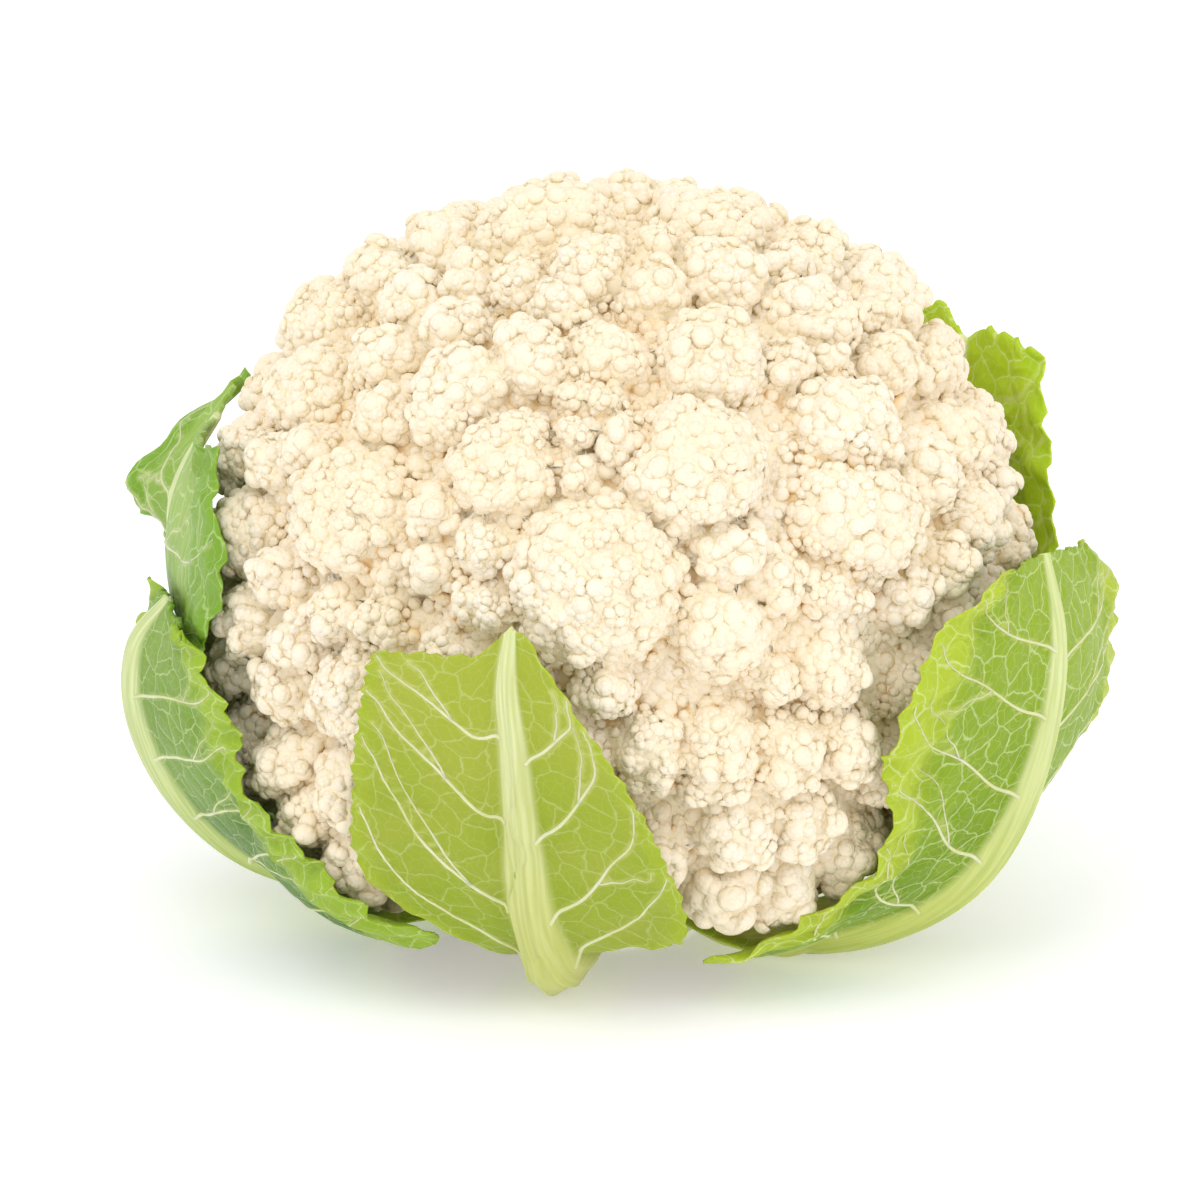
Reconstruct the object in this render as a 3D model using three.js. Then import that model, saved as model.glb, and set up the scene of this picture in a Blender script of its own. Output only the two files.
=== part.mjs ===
// A trimmed head of cauliflower that stands on its cut stem: one curd, one stem and
// seven wrapper leaves. Millimetres, +Z up, front towards -Y. The origin is the centre of
// the stem's cut face.

import * as THREE from "three";
import { mergeVertices } from "three/addons/utils/BufferGeometryUtils.js";
import { ConvexHull } from "three/addons/math/ConvexHull.js";

const { clamp, degToRad, lerp } = THREE.MathUtils;

// ---------------------------------------------------------------- driving dimensions

// Curd: a round core that the florets stand out of. Its upper half is an ellipsoid, its lower
// half is fuller, and its underside is cut away.
const CURD_CENTRE = new THREE.Vector3(3, 0, 76);
const CURD_HALF = new THREE.Vector3(80, 78, 73);
const LOWER_FULLNESS = 2.5;      // exponent of the lower half's outline; 2 is an ellipse
const FLORET_HEIGHT = 0.5;       // height of a floret's dome, as a share of its radius
const FLORET_ROOT = 0.5;         // share of that height that lies below the core's surface
const LOBE_PITCH = 9.4;          // distance between neighbouring lobes of one floret
const LOBE_SPREAD = 0.74;        // lobes fill this share of their floret's radius
const LOBE_RADIUS = 7.2;
const LOBE_HEIGHT = 2.2;
const LOBE_ROOT = 0.65;
const CREASE_DEPTH = 0.1;        // the corner between lobes of one floret is this much deeper
const CLEFT_DEPTH = 2.6;         // and the corner between different florets is this much deeper
const RING_SHARE = 0.56;         // a lobe's ring lies this far from its top to its corners
const LOBE_CROWDING = 0.66;      // least distance between lobes, as a share of their pitch
const LOBE_OVERTOP = 0.4;        // a lobe is left out where another floret is this much higher
const LOBE_REACH = 2;            // a lobe counts up to this many of its radii away
const SPIRAL_START = 0.3;        // how far along the spiral a floret's first lobe stands
const LOWEST_HEIGHT = -8;        // lowest the surface may lie over the core
const GOLDEN_ANGLE = Math.PI * (3 - Math.sqrt(5));
const SEED = 20;

// The underside is raised clear of the leaf stalks and has a flat seat for the stem.
const SEAT_Z = 24.3;
const SEAT_RADIUS = 42;
const SKIRT_RADIUS = 55;
const SKIRT_Z = 18;
const BRIM_RADIUS = 62;
const BRIM_Z = 11;
const UNDERSIDE_ROUNDS = 12;     // times that a point is let down to the underside's outline

// Stem
const STEM_RADIUS = 22;
const STEM_CUT_RADIUS = 20.5;
const STEM_TOP_RADIUS = 30;
const STEM_TOP_Z = 24;
const STEM_SIDES = 48;
const STEM_BEVEL_Z = 2;
const STEM_STRAIGHT_Z = 13;      // the stub is straight up to here
const STEM_FLARE_Z = 18;
const STEM_FLARE = 0.35;         // share of the widening that is reached there
const STEM_EDGE = 1;             // bevel round the top
const MERGE_DISTANCE = 1e-4;

// Leaves
const BLADE_THICKNESS = 1.0;
const LEAF_ROWS = 17;
const BLADE_COLUMNS = 3;         // spans of blade on each side of the rib
const ROOT_RADIUS = STEM_RADIUS + 0.6;
const LEAF_LIFT = 2.4;           // least distance from a leaf's middle surface to the florets
const LOBE_SHADE = 60;           // how fast a lobe's reach dies away, in mm per radian squared
const LEAF_FLOOR = 0.5;          // no leaf reaches lower than this
const TOOTH = 1.3;
const TOOTH_FROM = 0.25;         // teeth start at this share of a leaf's length
const RUFFLE_FROM = 0.2;         // the ruffle starts at this share of a leaf's length,
const RUFFLE_FULL = 0.4;         // and is whole at this one
const RUFFLE_SWING = 0.6;        // a wave goes this share of the ruffle to each side,
const RUFFLE_SHIFT = 0.6;        // round a middle that is pushed out by this share
const RUFFLE_SLANT = 0.3;        // waves by which the ruffle runs ahead at the right margin

const COLOURS = {
  curd: 0xf0e2c2,
  stem: 0xd9dfae,
  leafLight: 0xa9c763,
  leafMid: 0x8dbb48,
  leafDeep: 0x7fae52,
};
const ROUGHNESS = { curd: 0.75, stem: 0.6, leaf: 0.55 };

// ---------------------------------------------------------------- small helpers

// A repeatable stream of numbers from 0 to 1.
function randomStream(seed) {
  let state = seed;
  return () => {
    state = (state * 1103515245 + 12345) % 2147483648;
    return state / 2147483648;
  };
}

// Value at x of a line drawn through [x, y] knots.
function profile(knots, x) {
  const last = knots.length - 1;
  if (x <= knots[0][0]) return knots[0][1];
  if (x >= knots[last][0]) return knots[last][1];
  const next = knots.findIndex((knot) => knot[0] > x);
  const [x0, y0] = knots[next - 1];
  const [x1, y1] = knots[next];
  return lerp(y0, y1, (x - x0) / (x1 - x0));
}

function meshOf(name, geometry, colour, roughness) {
  const material = new THREE.MeshStandardMaterial({ color: colour, roughness, metalness: 0 });
  const mesh = new THREE.Mesh(geometry, material);
  mesh.name = name;
  return mesh;
}

function geometryOf(points, triangles) {
  const geometry = new THREE.BufferGeometry();
  geometry.setAttribute("position", new THREE.Float32BufferAttribute(points.flatMap((p) => p.toArray()), 3));
  geometry.setIndex(triangles.flat());
  geometry.computeVertexNormals();
  return geometry;
}

// ---------------------------------------------------------------- curd

// Florets of the front half, seen in an elevation that is tipped back by ELEVATION_TILT:
// [across, up, radius, lift]. Lift moves one in or out of the core.
const ELEVATION_TILT = degToRad(17);
const SIGHT_LENGTH = 120;        // a sight line runs this far to each side of the middle,
const SIGHT_STEP = 0.25;         // in steps of this length
const FRONT_FLORETS = [
  // crown
  [-11, 140, 14, 3], [-31, 136, 9, 2], [-43, 129, 9, 3], [-54, 121, 11, 3], [21, 139, 13, 2],
  [42, 134, 8, 2], [56, 126, 12, 3], [-36, 125, 10, 1], [-25, 128, 8, 0], [-14, 128, 8, -1],
  [-2, 130, 10, 1], [11, 126, 8, 0], [26, 129, 10, 1], [43, 122, 11, 1], [59, 112, 9, 0],
  [-59, 107, 12, 1], [-44, 113, 8, 0], [-43, 103, 7, -1],
  // shoulder
  [-29, 106, 12, 1], [-13, 113, 10, 0], [0, 113, 9, 0], [22, 113, 13, 1], [38, 111, 6, -1],
  [47, 110, 6, -1], [-2, 104, 8, -1], [-19, 91, 13, 1], [-5, 97, 6, -1], [-5, 89, 6, -1],
  [5, 96, 7, 0], [19, 91, 17, 2], [27, 73, 8, 0], [50, 99, 14, 1], [53, 80, 17, 1],
  [74, 94, 11, 0], [76, 79, 12, 0],
  // waist
  [-51, 82, 18, 1], [-72, 77, 11, 1], [-33, 72, 7, -1], [-43, 70, 7, -1], [-45, 60, 6, -1],
  [-54, 60, 7, -1], [-70, 60, 9, 1], [-1, 67, 21, 3], [-23, 75, 8, -1], [-23, 63, 9, -1],
  [24, 56, 10, 0], [36, 67, 8, -2], [48, 65, 9, -2], [63, 65, 9, -1], [-31, 55, 7, -1],
  [-64, 47, 8, 0],
  // skirt
  [-50, 44, 11, 0], [-64, 31, 8, 0], [-50, 25, 11, 0], [47, 50, 10, -1], [35, 48, 6, -2],
  [10, 32, 9, 0], [24, 31, 12, 1], [38, 33, 10, 0], [49, 35, 9, 0], [28, 16, 11, 0],
  [41, 18, 9, 0], [25, 5, 10, 1], [66, 48, 10, 0], [59, 29, 10, 0], [-31, 39, 12, 0],
  [-8, 29, 14, 0], [-33, 17, 11, 0], [-12, 8, 12, 0], [8, 11, 9, 0], [38, 5, 10, 1],
  [50, 12, 9, 1], [-48, 12, 10, 1], [-58, 21, 8, 1],
];
// The rest of the curd is filled by draws: [tries, smallest radius, largest radius].
const FILL_ROUNDS = [[900, 12, 17], [900, 8, 11], [700, 6, 7]];
const FILL_OVERLAP = 0.76;
const FILL_LOWEST = -0.62;       // lowest direction z that gets florets of its own
const UNDERSIDE_DRAWS = 60;
const UNDERSIDE_PITCH = 13.3;    // least distance from a lobe of the underside to any other

// Distance from the curd's centre to the core's surface along a unit direction.
function coreReach(direction) {
  const power = direction.z < 0 ? LOWER_FULLNESS : 2;
  const level = Math.hypot(direction.x / CURD_HALF.x, direction.y / CURD_HALF.y);
  const upright = Math.abs(direction.z) / CURD_HALF.z;
  return (level ** power + upright ** power) ** (-1 / power);
}

function onCore(direction) {
  return direction.clone().multiplyScalar(coreReach(direction)).add(CURD_CENTRE);
}

// The point of the core that the tipped elevation shows at (across, up): the first one met
// on the way in, or the one passed most closely.
function elevationPoint(across, up) {
  const away = new THREE.Vector3(0, Math.cos(ELEVATION_TILT), -Math.sin(ELEVATION_TILT));
  const upward = new THREE.Vector3(0, Math.sin(ELEVATION_TILT), Math.cos(ELEVATION_TILT));
  const start = new THREE.Vector3(across, 0, 0).addScaledVector(upward, up).sub(CURD_CENTRE);
  let nearest = Infinity;
  let direction = null;
  for (let travel = -SIGHT_LENGTH; travel < SIGHT_LENGTH && nearest > 0; travel += SIGHT_STEP) {
    const point = start.clone().addScaledVector(away, travel);
    const unit = point.clone().normalize();
    const outside = point.length() - coreReach(unit);
    if (outside < nearest) {
      nearest = outside;
      direction = unit;
    }
  }
  return onCore(direction);
}

function makeFlorets() {
  const random = randomStream(SEED);
  const florets = FRONT_FLORETS.map(([across, up, radius, lift]) => {
    return { at: elevationPoint(across, up), radius, lift };
  });
  for (const [tries, least, most] of FILL_ROUNDS) {
    for (let i = 0; i < tries; i++) {
      const z = lerp(FILL_LOWEST, 1, random());
      const turn = 2 * Math.PI * random();
      const radius = lerp(least, most, random());
      const flat = Math.sqrt(1 - z * z);
      const at = onCore(new THREE.Vector3(flat * Math.cos(turn), flat * Math.sin(turn), z));
      const free = florets.every((other) => {
        return other.at.distanceTo(at) > FILL_OVERLAP * (other.radius + radius);
      });
      if (free) florets.push({ at, radius, lift: 0 });
    }
  }
  return florets;
}

// Height of a floret's dome over the core, at a point of the core's surface. The bare
// underside has no dome, only its lift.
const BARE = { radius: 0, lift: -2 };

function domeHeight(floret, point) {
  if (floret === BARE) return BARE.lift;
  const height = FLORET_HEIGHT * floret.radius;
  const away = floret.at.distanceToSquared(point) / (floret.radius * floret.radius);
  return floret.lift + height * (1 - FLORET_ROOT - away);
}

// Lobes wind round each floret in a golden spiral. A lobe that another floret overtops, or
// that crowds one already placed, is left out.
function makeLobes(florets) {
  const lobes = [];
  const place = (at, floret) => {
    const direction = at.clone().sub(CURD_CENTRE).normalize();
    const foot = onCore(direction);
    const own = domeHeight(floret, foot);
    const overtopped = florets.some((other) => domeHeight(other, foot) > own + LOBE_OVERTOP);
    const crowded = lobes.some((lobe) => lobe.foot.distanceTo(foot) < LOBE_CROWDING * LOBE_PITCH);
    if (!overtopped && !crowded) lobes.push({ foot, direction, floret });
  };
  florets.forEach((floret, index) => {
    const outward = floret.at.clone().sub(CURD_CENTRE).normalize();
    const side = new THREE.Vector3(0, 0, 1).cross(outward).normalize();
    const over = outward.clone().cross(side);
    const count = Math.max(1, Math.round((2 * LOBE_SPREAD * floret.radius / LOBE_PITCH) ** 2));
    for (let i = 0; i < count; i++) {
      const share = count === 1 ? 0 : Math.sqrt((i + SPIRAL_START) / count);
      const away = LOBE_SPREAD * floret.radius * share;
      const turn = i * GOLDEN_ANGLE + index;
      const at = floret.at.clone();
      at.addScaledVector(side, away * Math.cos(turn));
      at.addScaledVector(over, away * Math.sin(turn));
      place(at, floret);
    }
  });
  return lobes;
}

// Bare lobes of the underside, below the lowest florets, along a golden spiral.
function makeUnderside(lobes) {
  for (let i = 0; i < UNDERSIDE_DRAWS; i++) {
    const z = -1 + (1 + FILL_LOWEST) * (i + 0.5) / UNDERSIDE_DRAWS;
    const away = Math.sqrt(1 - z * z);
    const turn = i * GOLDEN_ANGLE;
    const direction = new THREE.Vector3(away * Math.cos(turn), away * Math.sin(turn), z);
    const foot = onCore(direction);
    if (lobes.every((lobe) => lobe.foot.distanceTo(foot) > UNDERSIDE_PITCH)) {
      lobes.push({ foot, direction, floret: BARE });
    }
  }
}

// Height of the lobed surface over the core along a unit direction.
function lobedHeight(lobes, direction) {
  const foot = onCore(direction);
  let highest = LOWEST_HEIGHT;
  for (const lobe of lobes) {
    const away = lobe.foot.distanceToSquared(foot) / (LOBE_RADIUS * LOBE_RADIUS);
    if (away > LOBE_REACH * LOBE_REACH) continue;
    const own = domeHeight(lobe.floret, foot) + LOBE_HEIGHT * (1 - LOBE_ROOT - away);
    highest = Math.max(highest, own);
  }
  return highest;
}

// The lowest z that the curd may have at a distance from the stem's axis.
const UNDERSIDE = [[SEAT_RADIUS, SEAT_Z], [SKIRT_RADIUS, SKIRT_Z], [BRIM_RADIUS, BRIM_Z]];

function curdPoint(direction, height) {
  let reach = coreReach(direction) + height;
  for (let i = 0; i < UNDERSIDE_ROUNDS && direction.z < 0; i++) {
    const point = direction.clone().multiplyScalar(reach).add(CURD_CENTRE);
    const lowest = profile(UNDERSIDE, Math.hypot(point.x, point.y));
    reach = Math.min(reach, (lowest - CURD_CENTRE.z) / direction.z);
  }
  return direction.clone().multiplyScalar(reach).add(CURD_CENTRE);
}

// Triangles between neighbouring lobes: the convex hull of their directions.
function neighbourTriangles(directions) {
  const hull = new ConvexHull().setFromPoints(directions);
  const index = new Map(directions.map((direction, i) => [direction, i]));
  return hull.faces.map((face) => {
    const a = face.edge;
    return [a, a.next, a.next.next].map((edge) => index.get(edge.head().point));
  });
}

// Each lobe is a cell with its top, a ring and the corners that it shares with its neighbours.
function curdGeometry(lobes) {
  const directions = lobes.map((lobe) => lobe.direction);
  const faces = neighbourTriangles(directions);
  const points = directions.map((direction) => curdPoint(direction, lobedHeight(lobes, direction)));
  const corners = faces.map((face) => {
    const middle = new THREE.Vector3();
    face.forEach((i) => middle.add(directions[i]));
    middle.normalize();
    const sameFloret = face.every((i) => lobes[i].floret === lobes[face[0]].floret);
    const depth = sameFloret ? CREASE_DEPTH : CLEFT_DEPTH;
    points.push(curdPoint(middle, lobedHeight(lobes, middle) - depth));
    return middle;
  });
  const nextFace = new Map();
  faces.forEach((face, f) => {
    face.forEach((i, k) => nextFace.set(`${i}:${face[(k + 1) % 3]}`, f));
  });
  const triangles = [];
  directions.forEach((direction, i) => {
    const first = faces.findIndex((face) => face.includes(i));
    const loop = [];
    let face = first;
    do {
      loop.push(face);
      const place = faces[face].indexOf(i);
      const before = faces[face][(place + 2) % 3];
      face = nextFace.get(`${i}:${before}`);
    } while (face !== first);
    const ring = loop.map((f) => {
      const between = direction.clone().lerp(corners[f], RING_SHARE).normalize();
      points.push(curdPoint(between, lobedHeight(lobes, between)));
      return points.length - 1;
    });
    loop.forEach((f, k) => {
      const next = (k + 1) % loop.length;
      const corner = directions.length + f;
      const nextCorner = directions.length + loop[next];
      triangles.push([i, ring[k], ring[next]]);
      triangles.push([ring[k], corner, nextCorner]);
      triangles.push([ring[k], nextCorner, ring[next]]);
    });
  });
  return geometryOf(points, triangles);
}

const lobes = makeLobes(makeFlorets());
makeUnderside(lobes);
const lobeTops = lobes.map(({ direction }) => {
  const top = curdPoint(direction, lobedHeight(lobes, direction));
  return { direction, reach: top.distanceTo(CURD_CENTRE) };
});

// ---------------------------------------------------------------- stem

// A turned stub that widens to carry the curd, with a small bevel round the cut.
function stemGeometry() {
  const outline = [
    [0, 0],
    [STEM_CUT_RADIUS, 0],
    [STEM_RADIUS, STEM_BEVEL_Z],
    [STEM_RADIUS, STEM_STRAIGHT_Z],
    [lerp(STEM_RADIUS, STEM_TOP_RADIUS, STEM_FLARE), STEM_FLARE_Z],
    [STEM_TOP_RADIUS, STEM_TOP_Z - STEM_EDGE],
    [STEM_TOP_RADIUS - STEM_EDGE, STEM_TOP_Z],
    [0, STEM_TOP_Z],
  ];
  const lathe = new THREE.LatheGeometry(outline.map(([r, z]) => new THREE.Vector2(r, z)), STEM_SIDES);
  lathe.rotateX(Math.PI / 2);
  lathe.deleteAttribute("normal");
  lathe.deleteAttribute("uv");
  const merged = mergeVertices(lathe, MERGE_DISTANCE);
  const index = Array.from(merged.getIndex().array);
  const kept = [];
  for (let i = 0; i < index.length; i += 3) {
    const [a, b, c] = index.slice(i, i + 3);
    if (a !== b && b !== c && c !== a) kept.push(a, b, c);
  }
  merged.setIndex(kept);
  merged.computeVertexNormals();
  return merged;
}

// ---------------------------------------------------------------- leaves

// Each leaf hangs on three rails: its spine, its left margin and its right margin, seen from
// the stem outwards. A rail's points are [azimuth in degrees, radius, height], and the three
// rails' points match one to one, from the root to the tip. `top` says where the blade is cut
// off across its width: [place from -1, left, to 1, right, share of the rails' length].
const LEAVES = [
  {
    name: "leaf_front", colour: COLOURS.leafLight, rib: 1.15, ruffle: 0.8, waves: 2.5,
    top: [[-1, 1], [-0.22, 0.93], [0, 1], [1, 1]],
    spine: [
      [-98, ROOT_RADIUS, 9.5], [-99, 42, 8], [-100, 59, 12], [-101, 71, 27],
      [-101, 79, 45], [-101, 86, 63], [-101.5, 89, 77], [-101, 89.5, 88.5],
    ],
    left: [
      [-117, ROOT_RADIUS, 10], [-112, 42, 9], [-113, 61, 17], [-124.5, 75, 33],
      [-124.5, 83, 50], [-122, 87.5, 65], [-120.5, 89, 74], [-119, 88.5, 80.5],
    ],
    right: [
      [-79, ROOT_RADIUS, 10], [-86, 42, 9], [-89, 59, 14], [-76, 65, 19.5],
      [-81, 80, 38], [-87, 87, 57], [-93, 89.5, 72], [-99.3, 89.5, 87],
    ],
  },
  {
    name: "leaf_right", colour: COLOURS.leafMid, rib: 1, ruffle: 1.6, waves: 4.5,
    top: [[-1, 1], [0, 1], [1, 1]],
    spine: [
      [-36, ROOT_RADIUS, 9.5], [-33, 42, 7.5], [-27, 60, 9.5], [-23, 76.5, 18],
      [-22.5, 88, 33], [-21, 94, 53], [-18.5, 94.5, 69], [-16.5, 91, 84.5],
    ],
    left: [
      [-54, ROOT_RADIUS, 10], [-50, 42, 10], [-70, 56, 14], [-57, 68, 20],
      [-47, 76, 36], [-49, 85, 57], [-44, 88.5, 76], [-31, 89, 86],
    ],
    right: [
      [-17, ROOT_RADIUS, 10], [-20, 42, 9.5], [-8, 62, 13], [0, 80, 24],
      [4, 95, 38], [6, 102, 52], [7, 102.5, 66], [8, 97, 81],
    ],
  },
  {
    name: "leaf_right_back", colour: COLOURS.leafMid, rib: 0.8, ruffle: 1.6, waves: 3.5,
    top: [[-1, 0.98], [-0.3, 0.99], [0, 0.96], [0.5, 1], [1, 1]],
    spine: [
      [20, ROOT_RADIUS, 12], [22, 42, 11], [26, 60, 15.5], [30, 75, 28],
      [33, 85, 46], [35, 90, 68], [35, 89, 90], [33, 89, 114],
    ],
    left: [
      [3, ROOT_RADIUS, 12.5], [7, 42, 12.5], [7, 62, 19], [8, 77, 31],
      [9, 86, 47], [11, 91, 67], [15, 93, 90], [21, 92, 112],
    ],
    right: [
      [37, ROOT_RADIUS, 12.5], [38, 42, 12], [44, 62, 18.5], [49, 76, 32],
      [50, 86, 50], [48, 90, 72], [45, 90, 93], [43, 89, 112],
    ],
  },
  {
    name: "leaf_back_right", colour: COLOURS.leafLight, rib: 1, ruffle: 1.8, waves: 3.5,
    top: [[-1, 0.97], [-0.5, 1], [0, 0.97], [0.5, 1], [1, 0.96]],
    spine: [
      [62, ROOT_RADIUS, 9.5], [64, 42, 8], [67, 60, 11.5], [70, 75, 23],
      [73, 87, 42], [75, 94, 62], [76, 96, 80], [77, 92, 93],
    ],
    left: [
      [45, ROOT_RADIUS, 10], [48, 42, 9.5], [52, 64, 15], [53, 83, 28],
      [55, 95, 44], [57, 99, 60], [60, 98, 76], [66, 94, 89],
    ],
    right: [
      [79, ROOT_RADIUS, 10], [80, 42, 9.5], [83, 62, 14], [88, 76, 27],
      [92, 86, 44], [92, 91, 61], [90, 92, 77], [85, 91, 90],
    ],
  },
  {
    name: "leaf_back_left", colour: COLOURS.leafMid, rib: 1.05, ruffle: 2, waves: 3.5,
    top: [[-1, 1], [-0.5, 0.97], [0, 1], [0.5, 0.97], [1, 1]],
    spine: [
      [102, ROOT_RADIUS, 9.5], [104, 42, 8], [107, 60, 11], [110, 76, 22],
      [113, 89, 40], [115, 96, 58], [116, 98, 74], [117, 94, 86],
    ],
    left: [
      [86, ROOT_RADIUS, 10], [90, 42, 9.5], [93, 62, 13], [93, 82, 25],
      [92, 96, 42], [93, 101, 58], [98, 101, 72], [107, 96, 83],
    ],
    right: [
      [118, ROOT_RADIUS, 10], [120, 42, 9.5], [124, 62, 14], [130, 79, 27],
      [133, 91, 44], [134, 97, 60], [132, 98, 74], [126, 95, 84],
    ],
  },
  {
    name: "leaf_left_back", colour: COLOURS.leafMid, rib: 0.85, ruffle: 1.6, waves: 4,
    top: [[-1, 1], [-0.6, 1], [0, 0.98], [0.5, 1], [1, 1]],
    spine: [
      [142, ROOT_RADIUS, 12], [143, 42, 11], [146, 60, 16], [150, 75, 28],
      [154, 85, 45], [157, 92, 64], [157.5, 91, 82], [154, 83, 93.5],
    ],
    left: [
      [125, ROOT_RADIUS, 12.5], [129, 42, 12], [136, 64, 20], [142, 80, 36],
      [147, 90, 54], [151, 99, 67], [152, 106, 77], [141, 91.5, 98],
    ],
    right: [
      [157, ROOT_RADIUS, 12.5], [155, 42, 12], [157, 60, 20], [165, 71, 33],
      [169, 78, 48], [174, 82, 62], [171, 81, 78], [160, 79, 90],
    ],
  },
  {
    name: "leaf_left", colour: COLOURS.leafDeep, rib: 1, ruffle: 1.4, waves: 4.5,
    top: [[-1, 1], [0, 1], [1, 1]],
    spine: [
      [180, ROOT_RADIUS, 9.5], [178, 41, 8], [177, 57, 11], [180, 72, 17],
      [183, 84.5, 30], [185, 91.5, 46], [186.5, 91.5, 61], [190, 84, 72.5],
    ],
    left: [
      [164, ROOT_RADIUS, 10], [164, 41, 9.5], [162, 58, 12.5], [163, 74, 21],
      [165, 85, 35], [166, 91, 49], [170, 91, 61], [179, 86, 72],
    ],
    right: [
      [197, ROOT_RADIUS, 10], [203, 41, 9.5], [231, 56, 10.5], [229, 65, 20],
      [217, 69, 32], [207, 78, 43], [208, 83.5, 57], [203, 86, 75],
    ],
  },
];

// The rib along a leaf: half width and depth on its outer side, in mm, at shares of its length.
const RIB_HALF = [[0, 7], [0.15, 7.5], [0.35, 7], [0.6, 5], [0.85, 3], [1, 1.6]];
const RIB_DEPTH = [[0, 6.5], [0.15, 6.2], [0.35, 5.5], [0.6, 4], [0.85, 2.2], [1, 1]];
const RIB_INSIDE = 0.22;         // share of the depth that also stands on the inner side
const RIB_FLANK = 0.55;          // the flank lies this share of the way out to the rib's edge
const RIB_WIDEST = 0.8;          // a rib takes up no more than this share of the blade
const NORMAL_STEP = [0.01, 0.1]; // distances along and across that a normal is taken over
const TOOTH_STEP = 0.9;          // a tooth points away from the blade at this share of its width

function railCurve(points) {
  return new THREE.CatmullRomCurve3(points.map((p) => new THREE.Vector3(...p)), false, "catmullrom", 0.5);
}

function fromCylinder({ x: azimuth, y: radius, z }) {
  const turn = degToRad(azimuth);
  return new THREE.Vector3(radius * Math.cos(turn), radius * Math.sin(turn), z);
}

// Moves a point straight out from the curd's centre until it is clear of the florets.
function liftClear(point) {
  const away = point.clone().sub(CURD_CENTRE);
  let reach = away.length();
  const direction = away.divideScalar(reach);
  for (const top of lobeTops) {
    const apart = direction.distanceToSquared(top.direction);
    reach = Math.max(reach, top.reach - LOBE_SHADE * apart + LEAF_LIFT);
  }
  return direction.multiplyScalar(reach).add(CURD_CENTRE);
}

// The middle surface of a leaf, without its ruffle: place from -1 to 1 across the blade.
function leafSurface(leaf, along, place) {
  const rails = leaf.rails;
  const spine = rails.spine.getPoint(along);
  const margin = (place < 0 ? rails.left : rails.right).getPoint(along);
  return liftClear(fromCylinder(spine.lerp(margin, Math.abs(place))));
}

function leafNormal(leaf, along, place) {
  const [step, sideStep] = NORMAL_STEP;
  const alongA = leafSurface(leaf, Math.max(0, along - step), place);
  const alongB = leafSurface(leaf, Math.min(1, along + step), place);
  const acrossA = leafSurface(leaf, along, Math.max(-1, place - sideStep));
  const acrossB = leafSurface(leaf, along, Math.min(1, place + sideStep));
  return acrossB.sub(acrossA).cross(alongB.sub(alongA)).normalize();
}

// Puts a point of the leaf's foot on the round face that meets the stem.
function seatOnStem(point) {
  const scale = ROOT_RADIUS / Math.hypot(point.x, point.y);
  point.set(point.x * scale, point.y * scale, point.z);
}

// Places across one row: the margin, the blade, the rib's edge, its flank and its crest.
function rowPlaces(ribShare) {
  const side = [];
  for (let i = 0; i <= BLADE_COLUMNS; i++) {
    side.push(lerp(1, ribShare, i / BLADE_COLUMNS));
  }
  side.push(ribShare * RIB_FLANK);
  return [...side.map((place) => -place), 0, ...side.reverse()];
}

function leafGeometry(leaf) {
  leaf.rails = {
    spine: railCurve(leaf.spine),
    left: railCurve(leaf.left),
    right: railCurve(leaf.right),
  };
  const outer = [];
  const inner = [];
  const width = 2 * BLADE_COLUMNS + 5;
  for (let row = 0; row <= LEAF_ROWS; row++) {
    const level = row / LEAF_ROWS;
    const crest = fromCylinder(leaf.rails.spine.getPoint(level));
    const halfLeft = crest.distanceTo(fromCylinder(leaf.rails.left.getPoint(level)));
    const halfRight = crest.distanceTo(fromCylinder(leaf.rails.right.getPoint(level)));
    const ribHalf = profile(RIB_HALF, level) * leaf.rib;
    const shares = [halfLeft, halfRight].map((half) => Math.min(RIB_WIDEST, ribHalf / half));
    const places = rowPlaces(1);
    rowPlaces(shares[0]).forEach((place, i) => {
      if (place < 0) places[i] = place;
    });
    rowPlaces(shares[1]).forEach((place, i) => {
      if (place > 0) places[i] = place;
    });
    places.forEach((place, column) => {
      const along = level * profile(leaf.top, place);
      const margin = Math.abs(place) ** 2;
      const point = leafSurface(leaf, along, place);
      const normal = leafNormal(leaf, along, place);
      const wave = Math.sin(2 * Math.PI * (leaf.waves * level + RUFFLE_SLANT * place));
      const rootFade = clamp((level - RUFFLE_FROM) / (RUFFLE_FULL - RUFFLE_FROM), 0, 1);
      const swing = RUFFLE_SHIFT + RUFFLE_SWING * wave;
      point.addScaledVector(normal, leaf.ruffle * margin * rootFade * swing);
      const atMargin = column === 0 || column === width - 1;
      if (atMargin && row % 2 === 1 && level > TOOTH_FROM) {
        const inside = leafSurface(leaf, along, place * TOOTH_STEP);
        const outwards = leafSurface(leaf, along, place).sub(inside).normalize();
        point.addScaledVector(outwards, TOOTH);
      }
      const flank = clamp(1 - (Math.abs(place) / (place < 0 ? shares[0] : shares[1])) ** 2, 0, 1);
      const depth = profile(RIB_DEPTH, level) * leaf.rib * flank;
      const under = point.clone().addScaledVector(normal, BLADE_THICKNESS / 2 + depth);
      const over = point.clone().addScaledVector(normal, -BLADE_THICKNESS / 2 - RIB_INSIDE * depth);
      under.z = Math.max(under.z, LEAF_FLOOR);
      if (row === 0) [under, over].forEach(seatOnStem);
      outer.push(under);
      inner.push(over);
    });
  }
  return geometryOf([...outer, ...inner], shellTriangles(LEAF_ROWS + 1, width));
}

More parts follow.
